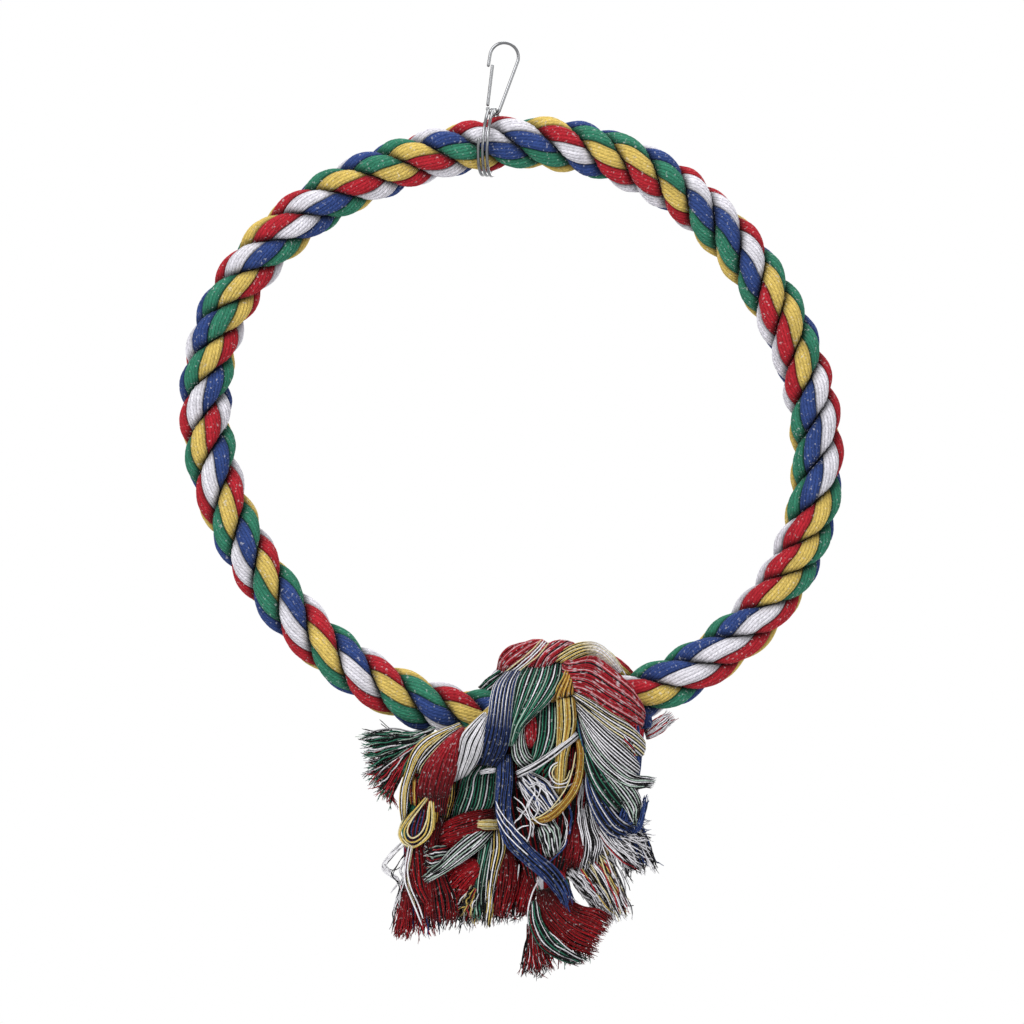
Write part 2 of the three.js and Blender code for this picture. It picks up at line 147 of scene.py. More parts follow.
# One for the rays that see plain white: the camera's, and those off gloss or through glass
def seenWhite(finish):
    path = [finish.node("LightPath", output=f"Is {ray} Ray") for ray in ("Camera", "Glossy", "Transmission")]
    return path[0].math("MAXIMUM", path[1]).math("MAXIMUM", path[2])


world = bpy.data.worlds.new("studio")
bpy.context.scene.world = world
sky = Finish(world)
ambient = sky.node("Background", inputs={"Color": studio["ambient"], "Strength": studio["ambientStrength"]})
white = sky.node("Background", inputs={"Color": (1, 1, 1, 1), "Strength": 1.0})
sky.output(sky.node("MixShader", inputs={0: seenWhite(sky), 1: ambient, 2: white}), "OutputWorld")

for name, place, size, power in studio["lamps"]:
    lamp = bpy.data.lights.new(name, "AREA")
    lamp.size = size / 1000
    lamp.energy = power
    holder = bpy.data.objects.new(name, lamp)
    bpy.context.collection.objects.link(holder)
    spot = inRing(np.array(place, float))
    away = unit(spot - inRing(np.array(studio["lampAim"], float)))
    side = unit(np.cross(back if abs(away[1]) < 0.9 else ringUp, away))
    turn = np.array([side, np.cross(away, side), away])
    holder.matrix_world = Matrix.Translation((spot / 1000).tolist()) @ Matrix(turn.T.tolist()).to_4x4()


# Yarn, in millimetres and shares: the dye reaches round a tube by wrap and falls towards the gaps to painted shade
# between yarns, and pale adds a painted highlight on the side that faces out; over diveShare at its ends a yarn dives
# back into the knot; a frayed end splits into plies; a dark core, painted as the shade inside a bundle, fills it
yarn = {
    "sides": 6, "fewest": 4, "jitter": 0.3, "girth": (0.9, 0.2), "tip": (0.85, 0.55), "blackFit": 0.95,
    "wanderRates": np.array([0.7, 1.6, 3.1]), "diveShare": 0.16,
    "askew": np.array([0.31, 0.89, 0.33]), "uvShift": 50, "tone": (0.8, 0.35), "changeRate": 4,
    # wrap, gap and pale entries: how far the dye reaches round a yarn, the painted shade in its gaps and the painted
    # highlight on its outward side
    "wrapMost": 0.74, "wrapPerSide": 0.1, "wrapLeast": 0.1, "paintedGapShade": 0.08, "gapPower": 1.2,
    "pale": 0.05, "palePower": 4, "flecks": np.array([8.5, 3.7]), "fleckPale": 0.75, "fleckEdge": 2.5,
    "plyRadius": 0.15, "plyTaper": np.array([1, 0.95, 0.8, 0.5]), "plyLength": (0.6, 2.0), "plySplay": 0.6,
    "plyCurl": 0.35, "plyStart": -0.3, "plySides": 4,
    "coreSides": 12, "paintedCoreShade": 0.03, "coreEnd": 0.1, "coreLength": 40,
}


# Mesh building: tubes are rings of points carried along paths, all of one piece in one heap

class Heap:
    def __init__(self):
        self.points, self.dyes, self.faces, self.sizes, self.uvs = [], [], [], [], []
        self.count = 0

    # A grid of n patches, rows x columns; columns close on themselves, and each end gets a cap
    def grids(self, points, dyes, uvAcross, uvAlong):
        n, rows, columns = points.shape[:3]
        index = self.count + np.arange(n * rows * columns).reshape(n, rows, columns)
        nextColumn = np.roll(index, -1, axis=2)
        quads = np.stack([index[:, :-1], nextColumn[:, :-1], nextColumn[:, 1:], index[:, 1:]], -1).reshape(-1, 4)
        across = np.broadcast_to(np.arange(columns) * uvAcross / columns, (n, rows, columns))
        acrossNext = across + uvAcross / columns
        along = np.broadcast_to(uvAlong[..., None], (n, rows, columns))
        corners = [(across[:, :-1], along[:, :-1]), (acrossNext[:, :-1], along[:, :-1])]
        corners += [(acrossNext[:, 1:], along[:, 1:]), (across[:, 1:], along[:, 1:])]
        quadUv = np.stack([np.stack(pair, -1) for pair in corners], -2).reshape(-1, 2)
        ends = np.concatenate([index[:, 0, ::-1], index[:, -1]])
        endUv = [np.stack([across[:, 0, ::-1], along[:, 0]], -1), np.stack([across[:, -1], along[:, -1]], -1)]
        self.faces += [quads.ravel(), ends.ravel()]
        self.sizes += [np.full(len(quads), 4), np.full(len(ends), columns)]
        self.uvs += [quadUv, np.concatenate(endUv).reshape(-1, 2)]
        self.points.append(points.reshape(-1, 3))
        self.dyes.append(np.broadcast_to(dyes, (n, rows, columns, 3)).reshape(-1, 3))
        self.count += n * rows * columns

    # Round tubes along n paths of m points: each ring is the path point plus radius times (cos side + sin lift).
    # Where a facing is given, the dye is painted: palest on the side that faces out, a painted highlight, and dark
    # in the gaps between yarns, painted shade.
    def tubes(self, paths, radii, dyes, sides, facing=None):
        along = unit(np.gradient(paths, axis=1))
        if facing is None:
            side = np.empty_like(paths)
            side[:, 0] = unit(np.cross(along[:, 0], yarn["askew"]))
            for k in range(1, paths.shape[1]):
                last = side[:, k - 1]
                side[:, k] = unit(last - (last * along[:, k]).sum(-1, keepdims=True) * along[:, k])
        else:
            side = unit(facing - (facing * along).sum(-1, keepdims=True) * along)
        lift = np.cross(along, side)
        angle = 2 * np.pi * np.arange(sides) / sides
        ring = side[:, :, None] * np.cos(angle)[:, None] + lift[:, :, None] * np.sin(angle)[:, None]
        points = paths[:, :, None] + radii[:, :, None, None] * ring
        # Painted light: the side of a yarn that faces out is paler, a painted highlight, and its sides towards the
        # next yarns darker, painted shade
        if facing is not None:
            wrap = max(yarn["wrapLeast"], yarn["wrapMost"] - yarn["wrapPerSide"] * sides)
            outer = np.clip(wrap + (1 - wrap) * np.cos(angle), 0, 1)[:, None] ** yarn["gapPower"]
            dark = yarn["paintedGapShade"]
            dyes = dyes * (dark + (1 - dark) * outer) + yarn["pale"] * dyes * outer ** yarn["palePower"]
        steps = np.linalg.norm(np.diff(paths, axis=1), axis=-1)
        travelled = np.concatenate([np.zeros((len(paths), 1)), np.cumsum(steps, 1)], 1)
        self.grids(points, dyes, 1.0, travelled + yarn["uvShift"] * rng.random((len(paths), 1)))

    def build(self, name, material, body, nodes, slot):
        points = np.concatenate(self.points) / 1000
        faces = np.concatenate(self.faces)
        sizes = np.concatenate(self.sizes)
        uvs = np.concatenate(self.uvs)
        dyes = np.concatenate(self.dyes)
        mesh = bpy.data.meshes.new(name)
        mesh.vertices.add(len(points))
        mesh.vertices.foreach_set("co", points.astype(np.float32).ravel())
        mesh.loops.add(len(faces))
        mesh.loops.foreach_set("vertex_index", faces.astype(np.int32))
        mesh.polygons.add(len(sizes))
        mesh.polygons.foreach_set("loop_start", np.concatenate([[0], np.cumsum(sizes)[:-1]]).astype(np.int32))
        mesh.polygons.foreach_set("use_smooth", np.ones(len(sizes), bool))
        mesh.uv_layers.new(name="yarn").data.foreach_set("uv", uvs.astype(np.float32).ravel())
        paint = mesh.attributes.new("dye", "FLOAT_COLOR", "POINT")
        paint.data.foreach_set("color", np.c_[dyes, np.ones(len(dyes))].astype(np.float32).ravel())
        mesh.update(calc_edges=True)
        mesh.validate()
        mesh.materials.append(material)
        piece = bpy.data.objects.new(name, mesh)
        bpy.context.collection.objects.link(piece)
        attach(piece, body)
        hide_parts(*nodes)
        print(name, "triangles", int((sizes - 2).sum()))


# Finishes

def linear(hexColour):
    channels = np.array([int(hexColour[i:i + 2], 16) for i in (0, 2, 4)]) / 255
    return np.where(channels <= 0.04045, channels / 12.92, ((channels + 0.055) / 1.055) ** 2.4)


# red, white, the rope's white, blue, green, yellow, cream, ochre, dark red, the tassels' red, black, mint and pink;
# black is mostly painted shade, dark yarns laid between pale ones where the gaps are in shade, and mint among the
# greens and pink among the reds are painted highlight, pale lines where the yarns' crests catch the light
dyeCodes = {
    "r": "b02530", "w": "f3f1f5", "v": "e2dfe6", "b": "31467e", "g": "357c62", "y": "d6b962", "c": "e4d6a6",
    "o": "ad7a2c", "d": "7c0e15", "e": "ac141e", "k": "0d0d10", "m": "b4cabb", "p": "d9959b",
}
dyeColours = {letter: linear(code) for letter, code in dyeCodes.items()}


# Cotton yarn: the dye times a sum of fibre, patch and ply, then lint where its noise is over lintFrom; the bump
# is of fibre and of the ply lines, which run slanting round each yarn
cottonLook = {
    "plySlant": 0.55, "fibreScale": 1100.0, "patchScale": 130.0, "lintScale": 900.0,
    "least": 0.17, "fibre": 1.3, "patch": 0.36, "ply": 0.06,
    "lintFrom": 0.62, "lintGain": 4, "lintMost": 0.36, "lintColour": (0.8, 0.8, 0.8, 1),
    "plyBump": 0.5, "bump": 0.45, "bumpHeight": 0.00025, "roughness": 0.88, "gloss": 0.15, "sheen": 0.08,
    "sheenRoughness": 0.4,
}


def noise(finish, scale, detail, **more):
    place = finish.node("TexCoord", output="Object")
    return finish.node("TexNoise", inputs={"Vector": place, "Scale": scale, "Detail": detail, **more})


def yarnMap(finish, axis):
    uv = finish.node("UVMap", {"uv_map": "yarn"})
    return finish.node("SeparateXYZ", inputs={0: uv}, output=axis)


def cottonFinish():
    finish, look = newFinish("dyedCotton"), cottonLook
    dye = finish.node("Attribute", {"attribute_name": "dye"}, output="Color")
    ply = ((yarnMap(finish, 0) + yarnMap(finish, 1) * look["plySlant"]) * (2 * math.pi)).math("SINE")
    fibre = noise(finish, look["fibreScale"], 4.0, Roughness=0.65)
    patch = noise(finish, look["patchScale"], 2.0)
    shade = look["least"] + fibre * look["fibre"] + patch * look["patch"] + ply * look["ply"]
    colour = finish.node("VectorMath", {"operation": "SCALE"}, {0: dye, "Scale": shade})
    lint = (noise(finish, look["lintScale"], 2.0) - look["lintFrom"]) * look["lintGain"]
    specks = lint.math("MAXIMUM", 0.0).math("MINIMUM", look["lintMost"])
    mixed = {"Factor": specks, 6: colour, 7: look["lintColour"]}
    colour = finish.node("Mix", {"data_type": "RGBA"}, mixed, output=2)
    height = ply * look["plyBump"] + fibre
    raised = {"Strength": look["bump"], "Distance": look["bumpHeight"], "Height": height}
    surface = finish.node("BsdfPrincipled", inputs={
        "Base Color": colour, "Roughness": look["roughness"], "Normal": finish.node("Bump", inputs=raised),
        "Specular IOR Level": look["gloss"], "Sheen Weight": look["sheen"], "Sheen Roughness": look["sheenRoughness"],
    })
    return finish.output(surface)


# Plated wire: bright metal, a little cloudy, with fine lines drawn along it
wireLook = {
    "colour": (0.2, 0.203, 0.21, 1), "roughness": 0.1, "cloud": 0.08, "cloudScale": 420.0,
    "lines": 40, "bump": 0.06, "bumpHeight": 0.00005,
}


def wireFinish():
    finish, look = newFinish("platedWire"), wireLook
    cloud = noise(finish, look["cloudScale"], 3.0)
    lines = {"W": yarnMap(finish, 0) * look["lines"], "Scale": 3.0, "Detail": 2.0}
    drawn = finish.node("TexNoise", {"noise_dimensions": "1D"}, lines)
    raised = {"Strength": look["bump"], "Distance": look["bumpHeight"], "Height": drawn}
    surface = finish.node("BsdfPrincipled", inputs={
        "Base Color": look["colour"], "Metallic": 1.0, "Roughness": look["roughness"] + cloud * look["cloud"],
        "Normal": finish.node("Bump", inputs=raised),
    })
    return finish.output(surface)


# A plain surface whose roughness is clouded by a noise
def plainFinish(name, colour, metal, roughness, cloud, scale, detail):
    finish = newFinish(name)
    rough = roughness + noise(finish, scale, detail) * cloud
    surface = finish.node("BsdfPrincipled", inputs={"Base Color": colour, "Metallic": metal, "Roughness": rough})
    return finish.output(surface)


cotton = cottonFinish()
platedWire = wireFinish()
# seen only where the rope is parted
coreSteel = plainFinish("coreSteel", (0.4, 0.4, 0.41, 1), 1.0, 0.3, 0.2, 300.0, 3.0)
for name in ("core_wire", "core_sleeve"):
    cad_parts[name].data.materials.clear()
    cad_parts[name].data.materials.append(coreSteel)

floorMesh = bpy.data.meshes.new("floor")
reach, floorZ = studio["floorReach"] / 1000, studio["floorHeight"] / 1000
corners = [(x * reach, y * reach, floorZ) for x, y in ((-1, -1), (1, -1), (1, 1), (-1, 1))]
floorMesh.from_pydata(corners, [], [(0, 1, 2, 3)])
floorMesh.materials.append(plainFinish("paleFloor", studio["floorColour"], 0.0, 0.8, 0.1, 60.0, 2.0))
floor = bpy.data.objects.new("floor", floorMesh)
bpy.context.collection.objects.link(floor)
print("studio and finishes made")


# Rope: three strands laid round the core. A strand's section is a circle of strandRadius about a centre that
# circles the rope's line at strandOffset, flattened where it meets its neighbours. Five dyed bundles lie round
# it, twisted against the lay, each a ridge of fine yarns. Their dye is darkened as painted shade in the grooves
# between bundles and yarns and in the creases where the strands meet.

rope = {
    "ringRadius": 110, "waves": [(2, 4.1, -20), (3, 0.7, 60), (4, 1.7, -21)], "knotAngle": 281, "endGap": 4.3,
    "strandOffset": 3.6, "strandRadius": 6.45, "wallTurn": 150, "wallGap": 0.15, "shoulder": 7, "steps": 430,
    "lineSteps": 7201, "spareCrossings": 5, "smooth": 5, "dyes": "rvbgy", "tone": (0.9, 0.2),
    "yarnsPerBundle": 6, "pointsPerYarn": 6, "bundleDepth": 1.2, "bundleEdge": 0.95, "yarnDepth": 0.3, "yarnEdge": 0.9,
    # painted shade in the grooves between bundles and between yarns, and in the creases towards the neighbouring
    # strands
    "paintedGrooveShade": 0.85, "paintedYarnGapShade": 0.4, "paintedCreaseShade": 0.85, "creaseFrom": 1.05, "creaseWidth": 0.55,
    # height and length of the waves along each bundle and each yarn, and how far they shift from one to the next
    "bundleWave": (0.12, 9, 2.4), "yarnWave": (0.06, 3.1, 9),
    "slots": ("cotton_green", "cotton_blue", "cotton_red"),
    # where strands cross the front of the rope, in millimetres from the knot anticlockwise
    "crossings": [30, 46, 62.5, 79, 94, 107.5, 121, 136.5, 152.5, 167, 180, 194, 208.5, 222, 236.6, 251, 263.5, 277.5,
                  292.5, 305, 319.5, 334, 347, 361, 374, 388, 402.5, 417, 432.5, 447, 461.5, 475.5, 489, 503.5, 518,
                  534, 548.5, 563, 579, 595.5, 611, 626.5, 642, 656.5],
    # twist of the bundles at each crossing, in fifths of a turn
    "twists": [4.9, 1.6, 1.35, 1.55, 4.6, 4.8, 5, 2.2, 2.15, 2.15, 4.5, 5, 4.9, 2.1, 2.8, 2.45, 3.95, 4.75, 4.35, 1,
               2.5, 2, 3.2, 5, 4, 0.1, 2, 1, 2.3, 4.4, 3.4, 4.35, 2, 0, 1.85, 4.4, 2.25, 4.05, 1.95, 4.5, 1.6, 4.35,
               2.75, 4.5],
    "twistPerLay": -2.6,
}
bundles = len(rope["dyes"])


# Middle of the rope at angle a: radius plus the sum of swell times cos(lobes (a - turn))
def ringLine(degrees):
    radius = rope["ringRadius"] + sum(s * np.cos(l * np.radians(degrees - t)) for l, s, t in rope["waves"])
    angle = np.radians(degrees)
    return np.stack([radius * np.cos(angle), 0 * angle, radius * np.sin(angle)], -1)


fineAngle = np.linspace(rope["knotAngle"] - 360, rope["knotAngle"], rope["lineSteps"])
finePoint = ringLine(fineAngle)
fineLength = np.concatenate([[0], np.cumsum(np.linalg.norm(np.diff(finePoint, axis=0), axis=1))])
knotCentre = ringLine(np.array(float(rope["knotAngle"])))


# Middle of the rope and the direction out of the ring, at a distance along it from the knot
def ropeLine(travel):
    middle = np.stack([np.interp(travel, fineLength, finePoint[:, k]) for k in range(3)], -1)
    along = unit(np.gradient(middle, axis=0))
    return middle, np.cross(back, along)


# Crossing number and bundle twist at each point of the rope; past the ends they go on at their mean rate
def layOfStrands(travel):
    crossings = np.array(rope["crossings"], float)
    number = np.arange(len(crossings))
    spacing = np.diff(crossings).mean()
    spare = np.arange(1, rope["spareCrossings"] + 1)
    where = np.concatenate([crossings[0] - spacing * spare[::-1], crossings, crossings[-1] + spacing * spare])
    which = np.concatenate([-spare[::-1], number, number[-1] + spare])
    count = np.interp(travel, where, which)
    window = np.hanning(2 * rope["smooth"] + 3)[1:-1]
    padded = np.pad(count, rope["smooth"], mode="reflect", reflect_type="odd")
    count = np.convolve(padded, window / window.sum(), "valid")
    twists = []
    for strand in range(3):
        stops, values = number[strand::3], np.array(rope["twists"][strand::3], float)
        turned = [values[0]]
        for value in values[1:]:
            wanted = turned[-1] + rope["twistPerLay"]
            turned.append(value + bundles * round((wanted - value) / bundles))
        stops = np.concatenate([[stops[0] - 3], stops, [stops[-1] + 3]])
        turned = [turned[0] - rope["twistPerLay"], *turned, turned[-1] + rope["twistPerLay"]]
        twists.append(np.interp(count, stops, turned))
    return count, twists


# Nought in the middle of each whole share and one at its ends, where it falls away as a circle does
def cusp(share, sharpness):
    x = 2 * (share % 1) - 1
    return (1 - np.sqrt(1 - sharpness * x * x)) / (1 - math.sqrt(1 - sharpness))


# The strand's section at each step: reach is the circle less its grooves, met smoothly by the two flat walls
def ropeStrand(strand):
    travel = np.linspace(rope["endGap"], fineLength[-1] - rope["endGap"], rope["steps"])
    middle, outward = ropeLine(travel)
    count, twists = layOfStrands(travel)
    crest = 2 * np.pi / 3 * (count - strand)
    each = rope["yarnsPerBundle"]
    columns = bundles * each * rope["pointsPerYarn"]
    bundle = bundles * np.arange(columns) / columns
    yarnNumber = np.floor(bundle * each)
    heading = 2 * np.pi / bundles * (twists[strand][:, None] - bundle)
    local = heading - crest[:, None]
    ridge, fine = cusp(bundle, rope["bundleEdge"]), cusp(bundle * each, rope["yarnEdge"])
    swell = rope["strandRadius"] - rope["bundleDepth"] * ridge - rope["yarnDepth"] * fine
    high, long, shift = rope["bundleWave"]
    uneven = high * np.sin(travel[:, None] / long + shift * np.floor(bundle) + strand)
    high, long, shift = rope["yarnWave"]
    reach = swell + (uneven + high * np.sin(travel[:, None] / long + shift * yarnNumber))
    offset, power = rope["strandOffset"], rope["shoulder"]
    wall = offset * math.sin(math.pi / 3) - rope["wallGap"]
    for turn in (rope["wallTurn"], -rope["wallTurn"]):
        facing = np.cos(local - math.radians(turn))
        flat = wall / np.maximum(facing, 1e-3)
        reach = (reach ** -power + flat ** -power) ** (-1 / power)
    turned = np.abs((local + np.pi) % (2 * np.pi) - np.pi)
    creaseShading = np.clip((turned - rope["creaseFrom"]) / rope["creaseWidth"], 0, 1)

    # Directions in the rope's section, by their angles from the front towards the outside of the ring
    def towards(angle):
        outside = outward.reshape(len(travel), *[1] * (angle.ndim - 1), 3)
        return -back * np.cos(angle)[..., None] + outside * np.sin(angle)[..., None]

    points = (middle + offset * towards(crest))[:, None] + reach[..., None] * towards(heading)
    colours = np.array([dyeColours[letter] for letter in rope["dyes"]])[np.floor(bundle).astype(int)]
    low, spread = rope["tone"]
    tone = low + spread * rng.random(bundles * each)[yarnNumber.astype(int)]
    # Painted shade: the random tone is darkened in the grooves between bundles and yarns and in the creases where the
    # strands meet
    tone = tone * (1 - rope["paintedGrooveShade"] * ridge ** 2) * (1 - rope["paintedYarnGapShade"] * fine ** 2)
    dyes = colours * (tone * (1 - rope["paintedCreaseShade"] * creaseShading))[..., None]
    heap = Heap()
    heap.grids(inRing(points)[None, :, ::-1], dyes[None, :, ::-1], float(bundles * each), travel[None])
    number = strand + 1
    heap.build(f"ropeStrand{number}", cotton, "ring", [f"rope_strand_{number}"], rope["slots"][strand])


for strand in range(3):
    ropeStrand(strand)
print("rope laid")


# Yarn bundles: a bundle is a flattened tube of yarns. Its stations give the middle, the half-width and the
# half-thickness; a smooth curve runs through them, and each yarn keeps its own place in the section.

# Catmull-Rom curve through stations at any share from 0 to 1
def through(stations, share):
    place = np.clip(share, 0, 1) * (len(stations) - 1)
    low = np.minimum(place.astype(int), len(stations) - 2)
    f = (place - low)[..., None]
    padded = np.concatenate([2 * stations[:1] - stations[1:2], stations, 2 * stations[-1:] - stations[-2:-1]])
    p0, p1, p2, p3 = (padded[low + k] for k in range(4))
    return p1 + 0.5 * f * (p2 - p0 + f * (2 * p0 - 5 * p1 + 4 * p2 - p3 + f * (3 * (p1 - p2) + p3 - p0)))


# Smooth wander along a yarn: three sines of random phase
def wander(count, share, size):
    phase = 2 * np.pi * rng.random((count, 1, 3, 3))
    rate = yarn["wanderRates"]
    waves = np.sin(2 * np.pi * rate * share[..., None, None] + phase) / (1 + rate)
    return size * waves.sum(-1)


# How far yarns at these shares have sunk, from nought to one, over the first and the last diveShare
def sunkEnds(share, both=True):
    dive = yarn["diveShare"]
    first = np.clip(1 - share / dive, 0, 1) ** 2
    return first + np.clip((share - (1 - dive)) / dive, 0, 1) ** 2 if both else first


# Two plies from each frayed tip, splayed about the yarn's heading and curled by the square of their run
def frayTips(heap, paths, shades):
    count, tips, heading = len(paths), paths[:, -1], unit(paths[:, -1] - paths[:, -4])
    shortest, spread = yarn["plyLength"]
    taper = yarn["plyRadius"] * yarn["plyTaper"] * np.ones((count, 1))
    run = np.linspace(yarn["plyStart"], 1, len(yarn["plyTaper"]))[None, :, None]
    for _ in range(2):
        way = heading + yarn["plySplay"] * (rng.random((count, 3)) - 0.5)
        length = shortest + spread * rng.random((count, 1))
        curl = yarn["plyCurl"] * (rng.random((count, 1, 3)) - 0.5) * run ** 2 * length[:, None]
        plies = tips[:, None] + run * (unit(way) * length)[:, None] + curl
        heap.tubes(inRing(knotCentre + plies), taper, shades, yarn["plySides"])


# A dark core, painted as the shade inside a bundle, that closes the gaps between yarns: the bundle's section times
# core, rounded off at both ends
def layCore(heap, middle, across, lift, shade, core, dive, run):
    ring = 2 * np.pi * np.arange(yarn["coreSides"]) / yarn["coreSides"]
    wide, high = through(across, run)[:, None], through(lift, run)[:, None]
    inside = np.minimum(run, run[-1] - run) / (yarn["coreEnd"] * run[-1])
    girth = core * np.sqrt(np.clip(inside, 0.01, 1))[:, None, None]
    shell = through(middle, run)[:, None] + girth * (wide * np.cos(ring)[:, None] + high * np.sin(ring)[:, None])
    shell = shell + dive * sunkEnds(run)[:, None, None] * back
    if np.dot(np.cross(across.mean(0), lift.mean(0)), middle[-1] - middle[0]) < 0:
        shell = shell[:, ::-1]
    heap.grids(inRing(knotCentre + shell)[None], shade, float(yarn["coreSides"]), yarn["coreLength"] * run[None])


# Yarn i sits at middle + across cos(angle) + lift sin(angle), the yarns a pitch apart round the section; fill
# yarns lie inside it. Frayed ends wander off and split into two plies; other ends dive back into the knot. The
# letters of dyes are taken in turn, or in bands, and may turn into those of later; flecks are pale stretches;
# painted shade may darken the dye towards the root and towards the tip.
def bundle(heap, middle, across, lift, dyes, pitch, radius, fill=0, fray=0.0, twist=0.0, loose=0.2, uneven=0.0,
           steps=22, dive=0.0, banded=None, rootShade=0.0, tipShade=0.0, plyShade=0.75, sides=yarn["sides"], core=0.8,
           later=None, change=0.5, fleck=0.0):
    width, thick = np.linalg.norm(across, axis=1).max(), np.linalg.norm(lift, axis=1).mean()
    fine = np.linspace(0, 2 * np.pi, 361)
    arcs = np.hypot(width * np.diff(np.cos(fine)), thick * np.diff(np.sin(fine)))
    arcs = np.concatenate([[0], np.cumsum(arcs)])
    around = max(yarn["fewest"], round(arcs[-1] / pitch))
    spots = (np.arange(around) + yarn["jitter"] * rng.random(around)) * arcs[-1] / around
    angle = np.concatenate([np.interp(spots, arcs, fine), 2 * np.pi * rng.random(fill)])
    count = len(angle)
    depth = np.ones((count, 1))
    depth[around:] = np.sqrt(rng.random((fill, 1)))
    share = np.linspace(0, 1, steps)[None] * (1 - uneven * rng.random(count))[:, None]
    turned = angle[:, None] + twist * share
    wide, high = through(across, share), through(lift, share)
    size = np.linalg.norm(wide, axis=-1, keepdims=True), np.linalg.norm(high, axis=-1, keepdims=True)
    cosine, sine = np.cos(turned)[..., None], np.sin(turned)[..., None]
    paths = through(middle, share) + (wide * cosine + high * sine) * depth[..., None]
    paths = paths + wander(count, share, loose) + wander(count, share, 1.0) * (fray * share ** 2)[..., None]
    paths = paths + dive * sunkEnds(share, both=not fray)[..., None] * back
    facing = unit(unit(wide) * cosine * size[1] + unit(high) * sine * size[0]) @ ringAxes
    if banded is None:
        turn = np.concatenate([np.arange(around), rng.integers(0, 99, fill)]) + rng.integers(0, 9)
    else:
        turn = np.floor((angle / (2 * np.pi) + banded) * len(dyes)).astype(int)
    letters = np.array(list(dyes))[turn % len(dyes)]
    low, spread = yarn["tone"]
    tone = low + spread * rng.random((count, 1))
    shades = (np.array([dyeColours[letter] for letter in letters]) * tone)[:, None] * np.ones((1, steps, 1))
    if later:
        ends = np.array([dyeColours[later[i]] for i in turn % len(dyes)]) * tone
        changed = np.clip(yarn["changeRate"] * (share - change) + 0.5, 0, 1)
        shades = shades + (ends[:, None] - shades) * changed[..., None]
    if fleck:
        length = np.linalg.norm(np.diff(middle, axis=0), axis=1).sum()
        phase = rng.random((count, 1, 2))
        waves = np.sin(2 * np.pi * (share[..., None] * length / yarn["flecks"] + phase)).mean(-1)
        pale = np.clip(yarn["fleckEdge"] * (waves - 1 + 2 * fleck), 0, 1)
        pale = yarn["fleckPale"] * pale * (letters != "k")[:, None]
        shades = shades + (dyeColours["w"] - shades) * pale[..., None]
    # Painted shade: the dye is darkened towards the root and towards the tip
    shades = shades * ((1 - rootShade * (1 - share) ** 1.5) * (1 - tipShade * share ** 2))[..., None]
    low, spread = yarn["girth"]
    radii = radius * (low + spread * rng.random((count, 1))) * np.ones((count, steps))
    radii[letters == "k"] *= yarn["blackFit"]
    if fray:
        radii[:, -2:] *= yarn["tip"]
    heap.tubes(inRing(knotCentre + paths), radii, shades[:, :, None], sides, facing)
    if fray:
        frayTips(heap, paths, plyShade * shades[:, -1:, None])
    if core:
        # the core's colour is painted shade: a small share of the mean of the bundle's dyes
        shade = yarn["paintedCoreShade"] * np.mean([dyeColours[letter] for letter in dyes], axis=0)
        layCore(heap, middle, across, lift, shade, core, dive, np.linspace(0.0, 1 - uneven, steps))


